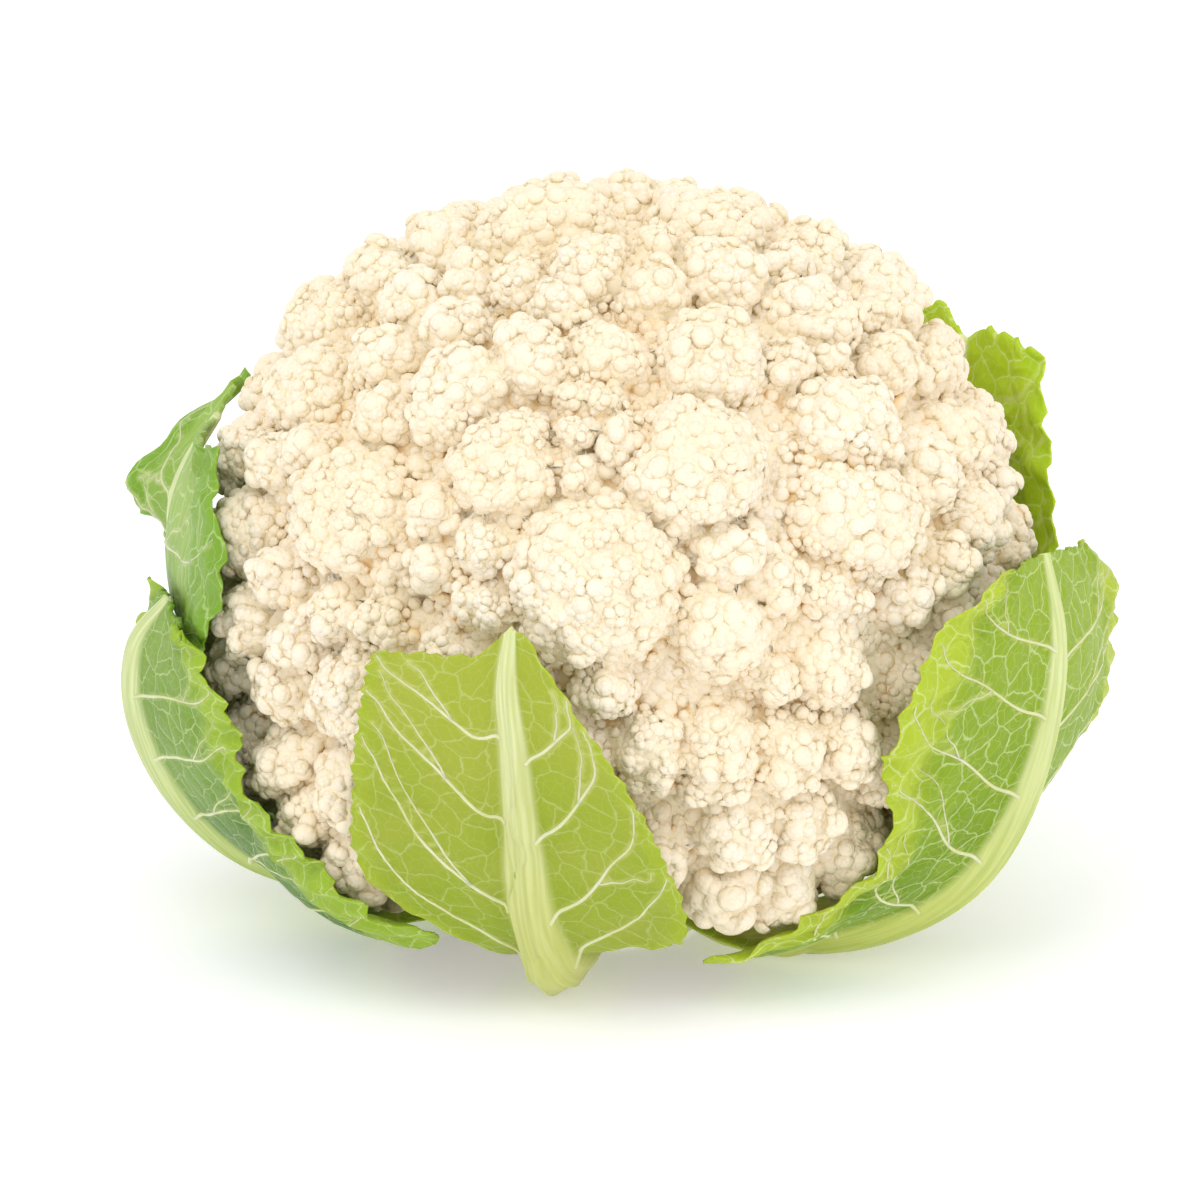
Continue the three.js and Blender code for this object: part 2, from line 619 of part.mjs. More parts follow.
// Triangles of a closed sheet: an outer grid, an inner grid split alike, and the rim.
function shellTriangles(rows, columns) {
  const triangles = [];
  const shift = rows * columns;
  for (let row = 0; row + 1 < rows; row++) {
    for (let column = 0; column + 1 < columns; column++) {
      const a = row * columns + column;
      const b = a + 1;
      const c = a + columns;
      const d = c + 1;
      triangles.push([a, b, d], [a, d, c]);
      triangles.push([shift + a, shift + d, shift + b], [shift + a, shift + c, shift + d]);
    }
  }
  const rim = [];
  for (let column = 0; column < columns - 1; column++) rim.push(column);
  for (let row = 0; row < rows - 1; row++) rim.push(row * columns + columns - 1);
  for (let column = columns - 1; column > 0; column--) rim.push((rows - 1) * columns + column);
  for (let row = rows - 1; row > 0; row--) rim.push(row * columns);
  rim.forEach((a, i) => {
    const b = rim[(i + 1) % rim.length];
    triangles.push([a, shift + b, b], [a, shift + a, shift + b]);
  });
  return triangles;
}

// ---------------------------------------------------------------- the object

const cauliflower = new THREE.Group();
cauliflower.add(meshOf("curd", curdGeometry(lobes), COLOURS.curd, ROUGHNESS.curd));
cauliflower.add(meshOf("stem", stemGeometry(), COLOURS.stem, ROUGHNESS.stem));
for (const leaf of LEAVES) {
  cauliflower.add(meshOf(leaf.name, leafGeometry(leaf), leaf.colour, ROUGHNESS.leaf));
}

export default cauliflower;
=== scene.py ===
"""Looks for a trimmed head of cauliflower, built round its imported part: a curd of small buds,
seven wrapper leaves with their veins, and the cut stem. It is laid out as an add-on."""

import math

import bmesh
import bpy
import numpy as np
from bpy.props import FloatProperty, FloatVectorProperty, PointerProperty
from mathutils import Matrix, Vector, kdtree, noise


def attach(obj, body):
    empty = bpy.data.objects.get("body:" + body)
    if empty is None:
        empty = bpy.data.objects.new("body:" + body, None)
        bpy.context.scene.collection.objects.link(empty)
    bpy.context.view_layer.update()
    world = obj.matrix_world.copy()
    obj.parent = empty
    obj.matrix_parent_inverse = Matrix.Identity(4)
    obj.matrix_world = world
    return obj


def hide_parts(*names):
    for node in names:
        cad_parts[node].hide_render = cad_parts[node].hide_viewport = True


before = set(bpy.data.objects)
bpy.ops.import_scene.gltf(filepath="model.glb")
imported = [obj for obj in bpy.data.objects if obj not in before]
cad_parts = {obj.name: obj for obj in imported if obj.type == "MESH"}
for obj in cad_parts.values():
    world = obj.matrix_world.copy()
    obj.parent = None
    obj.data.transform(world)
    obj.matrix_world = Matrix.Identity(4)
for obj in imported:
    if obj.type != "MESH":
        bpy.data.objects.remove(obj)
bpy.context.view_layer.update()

bl_info = {
    "name": "Cauliflower",
    "version": (1, 0, 0),
    "blender": (4, 5, 0),
    "location": "3D View > Sidebar > Cauliflower",
    "description": "Dresses a packed cauliflower with buds, veined leaves and a cut stem",
    "category": "Add Mesh",
}

# Constants are in millimetres, as the part's are. Meshes and settings are in metres.
MM = 0.001
GOLDEN_ANGLE = math.pi * (3 - math.sqrt(5))

# The part's stream of numbers: each state is the last one times a factor, plus a step, and
# starts again at the size.
STREAM_FACTOR = 1103515245.0
STREAM_STEP = 12345.0
STREAM_SIZE = 2147483648.0
NOISE_SHIFT = (17.3, 5.1, 9.7)   # how far each seed moves the noise
BATCH = 2000                     # points that are worked on at a time, to spare memory


# ------------------------------------------------------------------------------ helpers


def random_stream(seed):
    """The part's own repeatable stream of numbers from 0 to 1."""
    state = float(seed)
    while True:
        state = math.fmod(state * STREAM_FACTOR + STREAM_STEP, STREAM_SIZE)
        yield state / STREAM_SIZE


def unit(vectors):
    return vectors / np.linalg.norm(vectors, axis=-1, keepdims=True)


def direction(z, turn):
    """The unit direction of height z at a turn round the upright axis."""
    flat = math.sqrt(1 - z * z)
    return np.array([flat * math.cos(turn), flat * math.sin(turn), z])


def squared_distances(a, b):
    """Squared distance from each point of a to each point of b."""
    return np.maximum((a * a).sum(1)[:, None] + (b * b).sum(1)[None, :] - 2 * a @ b.T, 0)


def smoothstep(low, high, x):
    t = np.clip((x - low) / (high - low), 0, 1)
    return t * t * (3 - 2 * t)


def profile(knots, x):
    """Value at x of a line drawn through (x, y) knots."""
    return np.interp(x, [k[0] for k in knots], [k[1] for k in knots])


def waviness(points, wavelength, seed):
    """Smooth noise from about -1 to 1 at each point."""
    shift = Vector([seed * step for step in NOISE_SHIFT])
    return np.array([noise.noise(Vector(p) / wavelength + shift) for p in points])


def new_mesh(name, points, faces, smooth=True):
    """A mesh from points in millimetres and equal-sized faces, both as arrays."""
    mesh = bpy.data.meshes.new(name)
    faces = np.asarray(faces, np.int32)
    sides = faces.shape[1]
    mesh.vertices.add(len(points))
    mesh.vertices.foreach_set("co", (np.asarray(points) * MM).astype(np.float32).ravel())
    mesh.loops.add(faces.size)
    mesh.loops.foreach_set("vertex_index", faces.ravel())
    mesh.polygons.add(len(faces))
    mesh.polygons.foreach_set("loop_start", np.arange(len(faces), dtype=np.int32) * sides)
    mesh.update(calc_edges=True)
    mesh.polygons.foreach_set("use_smooth", np.full(len(faces), smooth))
    mesh.validate()
    return mesh


def store(mesh, name, values):
    """Keeps a number for each point of a mesh, which a material or a tree reads by name."""
    layer = mesh.attributes.new(name, "FLOAT", "POINT")
    layer.data.foreach_set("value", np.asarray(values, np.float32))


def add_piece(name, mesh, replaced):
    """Links a finished mesh as a piece that rides on the body and stands for a node."""
    piece = bpy.data.objects.new(name, mesh)
    bpy.context.scene.collection.objects.link(piece)
    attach(piece, "root")
    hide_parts(replaced)


# ------------------------------------------------------------------- node tree helpers


def node(tree, kind, inputs=None, **settings):
    """Adds a node. Inputs are keyed by name or index and hold sockets or plain values."""
    made = tree.nodes.new(kind)
    for key, value in settings.items():
        setattr(made, key, value)
    for key, value in (inputs or {}).items():
        if isinstance(value, bpy.types.NodeSocket):
            tree.links.new(value, made.inputs[key])
        else:
            made.inputs[key].default_value = value
    return made


def math_node(tree, operation, *values):
    settings = {"operation": operation}
    return node(tree, "ShaderNodeMath", dict(enumerate(values)), **settings).outputs[0]


def vector_node(tree, operation, *values):
    settings = {"operation": operation}
    return node(tree, "ShaderNodeVectorMath", dict(enumerate(values)), **settings).outputs[0]


def node_group(name, kind, inputs, outputs):
    """A node group with inputs, given as (name, socket type, default), and outputs."""
    tree = bpy.data.node_groups.new(name, kind)
    for label, socket_type, default in inputs:
        socket = tree.interface.new_socket(label, in_out="INPUT", socket_type=socket_type)
        if default is not None:
            socket.default_value = default
    for label, socket_type in outputs:
        tree.interface.new_socket(label, in_out="OUTPUT", socket_type=socket_type)
    start = tree.nodes.new("NodeGroupInput")
    end = tree.nodes.new("NodeGroupOutput")
    return tree, start.outputs, end.inputs


def geometry_tree(name, inputs):
    """A geometry tree that makes one geometry of another, with more inputs besides."""
    shape = ("Geometry", "NodeSocketGeometry")
    tree, given, made = node_group(name, "GeometryNodeTree", [(*shape, None), *inputs], [shape])
    return tree, given, made["Geometry"]


def grown(name, mesh, tree, values):
    """The plain mesh that a geometry tree makes of another mesh."""
    carrier = bpy.data.objects.new(name, mesh)
    bpy.context.scene.collection.objects.link(carrier)
    modifier = carrier.modifiers.new(tree.name, "NODES")
    modifier.node_group = tree
    for item in tree.interface.items_tree:
        if item.in_out == "INPUT" and item.name in values:
            modifier[item.identifier] = values[item.name]
    graph = bpy.context.evaluated_depsgraph_get()
    made = bpy.data.meshes.new_from_object(carrier.evaluated_get(graph), depsgraph=graph)
    carrier.modifiers.remove(modifier)
    bpy.data.objects.remove(carrier)
    made.name = name
    return made


def outward(mesh):
    """Turns the faces of a closed mesh outwards."""
    work = bmesh.new()
    work.from_mesh(mesh)
    bmesh.ops.recalc_face_normals(work, faces=work.faces)
    work.to_mesh(mesh)
    work.free()
    return mesh


# --------------------------------------------------------------------- shader helpers


def srgb(red, green, blue):
    """A colour from 0 to 255 as linear numbers."""
    steps = [c / 255 for c in (red, green, blue)]
    return tuple(c / 12.92 if c <= 0.04045 else ((c + 0.055) / 1.055) ** 2.4 for c in steps)


def new_material(name, roughness, scatter, radius, specular=0.5):
    """A material with a Principled shader, whose constant finish is set on its own sockets."""
    material = bpy.data.materials.new(name)
    material.use_nodes = True
    tree = material.node_tree
    shader = tree.nodes["Principled BSDF"]
    shader.inputs["Roughness"].default_value = roughness
    shader.inputs["Specular IOR Level"].default_value = specular
    shader.inputs["Subsurface Weight"].default_value = scatter
    shader.inputs["Subsurface Radius"].default_value = radius
    shader.inputs["Subsurface Scale"].default_value = MM
    return material, tree, shader


def attribute(tree, name):
    return node(tree, "ShaderNodeAttribute", attribute_name=name).outputs["Fac"]


def mix(tree, share, first, second):
    """A blend of two colours, each a socket or three linear numbers."""
    first, second = (
        value if isinstance(value, bpy.types.NodeSocket) else (*value, 1)
        for value in (first, second)
    )
    ends = {0: share, 6: first, 7: second}
    return node(tree, "ShaderNodeMix", ends, data_type="RGBA").outputs[2]


def ranged(tree, value, low, high, to_low=0.0, to_high=1.0):
    """Maps a value from one range to another along a smooth step."""
    return node(
        tree,
        "ShaderNodeMapRange",
        {0: value, 1: low, 2: high, 3: to_low, 4: to_high},
        interpolation_type="SMOOTHSTEP",
    ).outputs[0]


def group_node(tree, group, inputs):
    return node(tree, "ShaderNodeGroup", inputs, node_tree=group).outputs


def add_bump(tree, shader, height, distance, strength):
    """Gives a shader fine relief."""
    relief = {"Height": height, "Distance": distance, "Strength": strength}
    bump = node(tree, "ShaderNodeBump", relief).outputs[0]
    tree.links.new(bump, shader.inputs["Normal"])


def flesh_group():
    """Fine grain of plant flesh: a height for relief, and a slow drift of tone."""
    tree, given, made = node_group(
        "Flesh grain",
        "ShaderNodeTree",
        [("Grain size", "NodeSocketFloat", 0.0005), ("Drift size", "NodeSocketFloat", 0.02)],
        [("Height", "NodeSocketFloat"), ("Tone", "NodeSocketFloat")],
    )
    place = node(tree, "ShaderNodeTexCoord").outputs["Object"]
    for size, detail, label in (("Grain size", 3.0, "Height"), ("Drift size", 4.0, "Tone")):
        scale = math_node(tree, "DIVIDE", 1.0, given[size])
        pattern = node(
            tree, "ShaderNodeTexNoise", {"Vector": place, "Scale": scale, "Detail": detail}
        )
        tree.links.new(pattern.outputs["Fac"], made[label])
    return tree


NOISE_MIDDLE = (0.5, 0.5, 0.5)
NET_SWAY = (0.35, 0.35, 0.35)    # how far the net's lines are pushed about, in centimetres
PILLOW_REACH = 0.4               # share of a cell over which it rises from its lines


def net_group():
    """The net of fine veins between the side veins, on a leaf's own map in centimetres."""
    tree, given, made = node_group(
        "Vein net",
        "ShaderNodeTree",
        [("Cell size", "NodeSocketFloat", 0.6), ("Line width", "NodeSocketFloat", 0.06)],
        [("Line", "NodeSocketFloat"), ("Pillow", "NodeSocketFloat")],
    )
    place = node(tree, "ShaderNodeUVMap", uv_map="blade").outputs["UV"]
    warp = node(tree, "ShaderNodeTexNoise", {"Vector": place, "Scale": 2.2, "Detail": 2.0})
    centred = vector_node(tree, "SUBTRACT", warp.outputs["Color"], NOISE_MIDDLE)
    moved = vector_node(tree, "MULTIPLY_ADD", centred, NET_SWAY, place)
    scale = math_node(tree, "DIVIDE", 1.0, given["Cell size"])
    cells = node(
        tree, "ShaderNodeTexVoronoi", {"Vector": moved, "Scale": scale},
        feature="DISTANCE_TO_EDGE", voronoi_dimensions="2D",
    ).outputs["Distance"]
    line = ranged(tree, cells, 0.0, given["Line width"], 1.0, 0.0)
    pillow = ranged(tree, cells, 0.0, PILLOW_REACH)
    tree.links.new(line, made["Line"])
    tree.links.new(pillow, made["Pillow"])
    return tree


# --------------------------------------------------------------------------------- curd

# The same core, florets and lobes as the part's.
CURD_CENTRE = np.array([3.0, 0.0, 76.0])
CURD_HALF = np.array([80.0, 78.0, 73.0])
LOWER_FULLNESS = 2.5             # exponent of the lower half's outline; 2 is an ellipse
FLORET_HEIGHT = 0.5              # height of a floret's dome, as a share of its radius
FLORET_ROOT = 0.5                # share of that height that lies below the core's surface
LOBE_PITCH = 9.4                 # distance between neighbouring lobes of one floret
LOBE_SPREAD = 0.74               # lobes fill this share of their floret's radius
LOBE_RADIUS = 7.2                # a lobe falls by its drop over this distance
LOBE_HEIGHT = 2.2
LOBE_ROOT = 0.65                 # share of that height that lies below its floret's dome
LOBE_CROWDING = 0.66             # least distance between lobes, as a share of their pitch
LOBE_OVERTOP = 0.4               # a lobe is left out where another floret is this much higher
LOBE_REACH = 2                   # a lobe counts up to this many of its radii away
SPIRAL_START = 0.3               # how far along the spiral a floret's first lobe stands
LOWEST_HEIGHT = -8               # lowest the surface may lie over the core
FLORET_SEED = 20
ELEVATION_TILT = math.radians(17)
SIGHT_LENGTH = 120               # a sight line runs this far to each side of the middle,
SIGHT_STEP = 0.25                # in steps of this length

# Florets at the front, as (across, up, radius, lift) on an elevation that is tipped back.
FRONT_FLORETS = [
    # crown
    (-11, 140, 14, 3), (-31, 136, 9, 2), (-43, 129, 9, 3), (-54, 121, 11, 3), (21, 139, 13, 2),
    (42, 134, 8, 2), (56, 126, 12, 3), (-36, 125, 10, 1), (-25, 128, 8, 0), (-14, 128, 8, -1),
    (-2, 130, 10, 1), (11, 126, 8, 0), (26, 129, 10, 1), (43, 122, 11, 1), (59, 112, 9, 0),
    (-59, 107, 12, 1), (-44, 113, 8, 0), (-43, 103, 7, -1),
    # shoulder
    (-29, 106, 12, 1), (-13, 113, 10, 0), (0, 113, 9, 0), (22, 113, 13, 1), (38, 111, 6, -1),
    (47, 110, 6, -1), (-2, 104, 8, -1), (-19, 91, 13, 1), (-5, 97, 6, -1), (-5, 89, 6, -1),
    (5, 96, 7, 0), (19, 91, 17, 2), (27, 73, 8, 0), (50, 99, 14, 1), (53, 80, 17, 1),
    (74, 94, 11, 0), (76, 79, 12, 0),
    # waist
    (-51, 82, 18, 1), (-72, 77, 11, 1), (-33, 72, 7, -1), (-43, 70, 7, -1), (-45, 60, 6, -1),
    (-54, 60, 7, -1), (-70, 60, 9, 1), (-1, 67, 21, 3), (-23, 75, 8, -1), (-23, 63, 9, -1),
    (24, 56, 10, 0), (36, 67, 8, -2), (48, 65, 9, -2), (63, 65, 9, -1), (-31, 55, 7, -1),
    (-64, 47, 8, 0),
    # skirt
    (-50, 44, 11, 0), (-64, 31, 8, 0), (-50, 25, 11, 0), (47, 50, 10, -1), (35, 48, 6, -2),
    (10, 32, 9, 0), (24, 31, 12, 1), (38, 33, 10, 0), (49, 35, 9, 0), (28, 16, 11, 0),
    (41, 18, 9, 0), (25, 5, 10, 1), (66, 48, 10, 0), (59, 29, 10, 0), (-31, 39, 12, 0),
    (-8, 29, 14, 0), (-33, 17, 11, 0), (-12, 8, 12, 0), (8, 11, 9, 0), (38, 5, 10, 1),
    (50, 12, 9, 1), (-48, 12, 10, 1), (-58, 21, 8, 1),
]
# Rounds that fill the rest with florets, as (tries, least radius, greatest radius).
FILL_ROUNDS = [(900, 12, 17), (900, 8, 11), (700, 6, 7)]
FILL_OVERLAP = 0.76              # least distance between florets, as a share of both radii
FILL_LOWEST = -0.62              # lowest direction z that gets florets of its own
UNDERSIDE_PITCH = 13.3           # least distance from a lobe of the underside to any other
UNDERSIDE_POINTS = 60            # places that are tried for them
BARE_LIFT = -2.0                 # height of the underside, which has no florets
UNDERSIDE = [(42, 24.3), (55, 18), (62, 11)]   # its lowest outline, as (radius, height)
UNDERSIDE_ROUNDS = 12            # times that a point is let down to that outline

# Where the lower curd is fuller than the part's, as (azimuth in degrees, height of the
# direction, spread, how far it stands out).
CHEEKS = [
    (224, -0.55, 0.3, 5.0), (222, -0.78, 0.22, 4.0),
    (205, -0.35, 0.3, 3.5), (-60, -0.6, 0.25, 2.0),
]

# The finer surface is sampled at this many points, and its buds picked from this many places.
SURFACE_POINTS = 26000
CANDIDATES = 170000
BUD_SEED = 7
SCATTER = 0.003                  # how far samples are out of place, as a share of the radius
HULL_RADIUS = 100                # large enough that no two samples are merged
FLORET_POWER = 1.6               # florets are fuller than a paraboloid
SMALL_FLORET = 14                # florets narrower than this in radius are raised,
SMALL_LIFT = 0.28                # by this much of what they lack
LOBE_POWER = 1.25                # lobes are flatter on top than a paraboloid
LOBE_DEEPEST = 1.5               # and no valley between them is deeper than this
VALLEY_FROM = 0.5                # between florets, the ground below this height falls
VALLEY_SHARE = 0.8               # by only this share of the rest
CLEFT_WIDTH = 2.8                # how far a cleft reaches, in height between florets,
CLEFT_SHADE = 1.3                # and how far its shade does
CLEFT_SINK = 1.1                 # how much deeper the bed lies there, under the buds
WARPS = [(3.0, 26.0), (1.3, 9.0)]   # how far round forms are pushed about, and how finely
WARP_SEED = 1                    # noise takes its seed from the clock unless it is given one
CLUMP_SIZES = (0.75, 1.0)        # width of a clump as a share of the widest
CLUMP_CROWDING = 0.94            # least distance between clumps, as a share of their radii
CLUMP_RISE = 0.5                 # a clump's middle stands out by this share of its drop,
CLUMP_REACH = 1.3                # which ends this many half widths away
CLUMP_LEAN = 0.25                # how far the buds of a clump lean away from its middle
KNOB_PATCH = 12.0                # size of the patches where clumps are one smooth knob,
KNOB_CHANCE = 0.3                # and how much chance blurs them
KNOB_SIZES = (0.75, 1.05)        # radius of a knob as a share of half its clump's width
KNOB_COVER = 0.72                # no bud stands within this share of a knob's radius
BUD_PATCH = 16.0                 # size of the patches of wider and narrower buds,
BUD_PATCH_SHARE = 0.6            # and how much they count beside chance
BUD_CROWDING = 0.53              # least distance between buds, as a share of both their radii
COARSER = 0.5                    # how much wider the buds grow at the back,
COARSE_FROM = (0.0, 50.0)        # between these distances behind the middle
COARSE_BELOW = (36.0, 24.0)      # and they grow to twice as wide between these heights
SMALL_DOME = (6, (66, 34))       # sides of a small bud, and its rings' angles from the top
KNOB_DOME = (11, (72, 48, 24))   # and those of a knob
DOME_FOOT = -0.2                 # height of a bud's closed foot, in radii
BUD_SCALES = ((0.9, 0.9, 0.88), (1.14, 1.14, 1.12))   # least and most that a bud is stretched
CROWN_FROM = 0.78                # florets that face up more than this belong to the crown
SIDE_NAMES = ["right", "back", "left", "front"]
UNDERSIDE_PIECE = len(SIDE_NAMES) + 1


def cheek_swell(directions):
    """How much further the lower curd reaches along some directions."""
    swell = np.zeros(directions.shape[:-1])
    for azimuth, z, spread, height in CHEEKS:
        apart = ((directions - direction(z, math.radians(azimuth))) ** 2).sum(-1)
        swell += height * np.exp(-apart / spread**2)
    return swell


def core_reach(directions):
    """Distance from the curd's centre to its core along unit directions."""
    power = np.where(directions[..., 2] < 0, LOWER_FULLNESS, 2.0)
    level = np.hypot(directions[..., 0] / CURD_HALF[0], directions[..., 1] / CURD_HALF[1])
    upright = np.abs(directions[..., 2]) / CURD_HALF[2]
    return (level**power + upright**power) ** (-1 / power) + cheek_swell(directions)


def on_core(directions):
    return directions * core_reach(directions)[..., None] + CURD_CENTRE


def elevation_point(across, up):
    """The point of the core that an elevation tipped back by ELEVATION_TILT shows."""
    away = np.array([0, math.cos(ELEVATION_TILT), -math.sin(ELEVATION_TILT)])
    upward = np.array([0, math.sin(ELEVATION_TILT), math.cos(ELEVATION_TILT)])
    start = np.array([across, 0, 0]) + up * upward - CURD_CENTRE
    points = start + np.arange(-SIGHT_LENGTH, SIGHT_LENGTH, SIGHT_STEP)[:, None] * away
    outside = np.linalg.norm(points, axis=1) - core_reach(unit(points))
    inside = np.nonzero(outside <= 0)[0]
    met = inside[0] if len(inside) else np.argmin(outside)
    return on_core(unit(points[met]))


class Curd:
    """The florets and lobes of the curd, and the height of the surface that they make."""

    def __init__(self):
        self.grow_florets()
        self.grow_lobes()

    def grow_florets(self):
        random = random_stream(FLORET_SEED)
        at = [elevation_point(across, up) for across, up, _, _ in FRONT_FLORETS]
        radius = [r for _, _, r, _ in FRONT_FLORETS]
        lift = [height for _, _, _, height in FRONT_FLORETS]
        for tries, least, most in FILL_ROUNDS:
            for _ in range(tries):
                z = FILL_LOWEST + (1 - FILL_LOWEST) * next(random)
                turn = 2 * math.pi * next(random)
                size = least + (most - least) * next(random)
                place = on_core(direction(z, turn))
                apart = np.linalg.norm(np.array(at) - place, axis=1)
                if (apart > FILL_OVERLAP * (np.array(radius) + size)).all():
                    at.append(place)
                    radius.append(size)
                    lift.append(0)
        self.at = np.array(at)
        self.radius = np.array(radius, float)
        self.lift = np.array(lift, float)
        self.facing = unit(self.at - CURD_CENTRE)

    def domes(self, feet, power=1.0, small_lift=0.0):
        """Height of each floret's dome over the core. The last column is the bare underside."""
        away = (squared_distances(feet, self.at) / self.radius**2) ** power
        heights = FLORET_HEIGHT * self.radius * (1 - FLORET_ROOT - away)
        heights = heights + self.lift + small_lift * np.maximum(SMALL_FLORET - self.radius, 0)
        return np.column_stack([heights, np.full(len(feet), BARE_LIFT)])

    def grow_lobes(self):
        feet, owners = [], []
        bare = len(self.at)

        def free(foot, distance):
            return not feet or np.linalg.norm(np.array(feet) - foot, axis=1).min() > distance

        for index, (at, radius, facing) in enumerate(zip(self.at, self.radius, self.facing)):
            side = unit(np.cross([0, 0, 1], facing))
            over = np.cross(facing, side)
            count = max(1, math.floor((2 * LOBE_SPREAD * radius / LOBE_PITCH) ** 2 + 0.5))
            for i in range(count):
                away = LOBE_SPREAD * radius * math.sqrt((i + SPIRAL_START) / count)
                away = away if count > 1 else 0
                turn = i * GOLDEN_ANGLE + index
                place = at + side * away * math.cos(turn) + over * away * math.sin(turn)
                foot = on_core(unit(place - CURD_CENTRE))
                heights = self.domes(foot[None])[0, :bare]
                overtopped = (heights > heights[index] + LOBE_OVERTOP).any()
                if not overtopped and free(foot, LOBE_CROWDING * LOBE_PITCH):
                    feet.append(foot)
                    owners.append(index)
        for i in range(UNDERSIDE_POINTS):
            z = -1 + (1 + FILL_LOWEST) * (i + 0.5) / UNDERSIDE_POINTS
            foot = on_core(direction(z, i * GOLDEN_ANGLE))
            if free(foot, UNDERSIDE_PITCH):
                feet.append(foot)
                owners.append(bare)
        self.lobe_feet = np.array(feet)
        self.lobe_owner = np.array(owners)

    def relief(self, directions, lobes=(LOBE_HEIGHT, 1.0, math.inf), florets=(1.0, 0.0)):
        """Height over the core, the lobe that makes it, and by how much its floret leads. The
        lobes are given as their drop, its power and its limit, and the florets as the power
        that rounds them and how much further small ones stand out."""
        drop, power, most = lobes
        feet = on_core(directions)
        rows = []
        for low in range(0, len(feet), BATCH):
            part = feet[low : low + BATCH]
            away = squared_distances(part, self.lobe_feet) / LOBE_RADIUS**2
            domes = self.domes(part, *florets)
            own = domes[:, self.lobe_owner] + LOBE_HEIGHT * (1 - LOBE_ROOT)
            own = own - np.minimum(drop * away**power, most)
            own[away > LOBE_REACH**2] = LOWEST_HEIGHT
            top = np.partition(domes, -2, axis=1)[:, -2:]
            rows.append(np.column_stack([own.max(1), own.argmax(1), top[:, 1] - top[:, 0]]))
        height, lobe, lead = np.concatenate(rows).T
        return height, lobe.astype(int), lead

    def tops(self):
        """Direction and reach of each lobe's top."""
        directions = unit(self.lobe_feet - CURD_CENTRE)
        points = curd_points(directions, self.relief(directions)[0])
        return directions, np.linalg.norm(points - CURD_CENTRE, axis=1)


def curd_points(directions, heights):
    """Points over the core, with the underside kept clear of the leaf stalks."""
    reach = core_reach(directions) + heights
    lower = directions[:, 2] < 0
    down = directions[lower]
    for _ in range(UNDERSIDE_ROUNDS):
        points = down * reach[lower, None] + CURD_CENTRE
        lowest = profile(UNDERSIDE, np.hypot(points[:, 0], points[:, 1]))
        reach[lower] = np.minimum(reach[lower], (lowest - CURD_CENTRE[2]) / down[:, 2])
    return directions * reach[:, None] + CURD_CENTRE


class Crowd:
    """Round places that keep clear of one another, looked up through a grid."""

    def __init__(self, cell):
        self.cell = cell
        self.grid = {}

    def take(self, place, radius):
        """Keeps the place and says so if nothing that it holds is nearer than both radii."""
        x, y, z = place
        home = (int(x // self.cell), int(y // self.cell), int(z // self.cell))
        for i in (home[0] - 1, home[0], home[0] + 1):
            for j in (home[1] - 1, home[1], home[1] + 1):
                for k in (home[2] - 1, home[2], home[2] + 1):
                    for other in self.grid.get((i, j, k), ()):
                        apart = (x - other[0]) ** 2 + (y - other[1]) ** 2 + (z - other[2]) ** 2
                        if apart < (radius + other[3]) ** 2:
                            return False
        self.grid.setdefault(home, []).append((x, y, z, radius))
        return True


def scattered(rng, count):
    """Directions spread evenly over a sphere, each a little out of place."""
    steps = np.arange(count) + 0.5
    z = 1 - 2 * steps / count
    flat = np.sqrt(1 - z * z)
    turns = steps * GOLDEN_ANGLE
    spiral = np.stack([flat * np.cos(turns), flat * np.sin(turns), z], 1)
    return unit(spiral + rng.normal(0, SCATTER, spiral.shape))


def warped(directions):
    """Directions moved along by slow noise, which pushes round forms out of round."""
    noise.seed_set(WARP_SEED)
    feet = directions * CURD_HALF[0]
    for amount, wavelength in WARPS:
        drift = np.array([noise.noise_vector(Vector(p) / wavelength) for p in feet])
        feet = feet + amount * drift
    return unit(feet)


def neighbour_faces(directions):
    """Triangles between neighbouring directions: their convex hull."""
    hull = bmesh.new()
    for place in directions * HULL_RADIUS:
        hull.verts.new(place)
    bmesh.ops.convex_hull(hull, input=hull.verts)
    bmesh.ops.triangulate(hull, faces=hull.faces)
    bmesh.ops.recalc_face_normals(hull, faces=hull.faces)
    hull.verts.index_update()
    faces = np.array([[v.index for v in face.verts] for face in hull.faces])
    hull.free()
    return faces


def point_normals(points, faces):
    """Outward normal at each point of a mesh, and the area of each of its faces."""
    a, b, c = (points[faces[:, i]] for i in range(3))
    slopes = np.cross(b - a, c - a)
    normals = np.zeros_like(points)
    for i in range(3):
        for axis in range(3):
            normals[:, axis] += np.bincount(faces[:, i], slopes[:, axis], len(points))
    return unit(normals), np.linalg.norm(slopes, axis=1) / 2


def lookup(points):
    """A tree that finds the nearest of some points."""
    tree = kdtree.KDTree(len(points))
    for index, point in enumerate(points):
        tree.insert(point, index)
    tree.balance()
    return tree


def swollen(curd, settings, directions):
    """The curd without its clumps and buds: points along some directions, the floret that
    each belongs to, and how deep in a cleft between florets it lies, from 0 to 1."""
    lobes = (settings.lobe_drop / MM, LOBE_POWER, LOBE_DEEPEST)
    height, lobe, lead = curd.relief(warped(directions), lobes, (FLORET_POWER, SMALL_LIFT))
    cleft = np.exp(-((lead / CLEFT_SHADE) ** 2))
    valley = np.exp(-((lead / CLEFT_WIDTH) ** 2))
    height = height - (1 - VALLEY_SHARE) * np.minimum(height - VALLEY_FROM, 0)
    height = height - (settings.cleft_depth * valley + settings.bud_cover) / MM
    return curd_points(directions, height), curd.lobe_owner[lobe], cleft


def sown(order, places, radii):
    """The places that find room beside one another, tried in an order."""
    crowd = Crowd(2 * radii.max())
    return np.array([i for i in order if crowd.take(places[i], radii[i])])


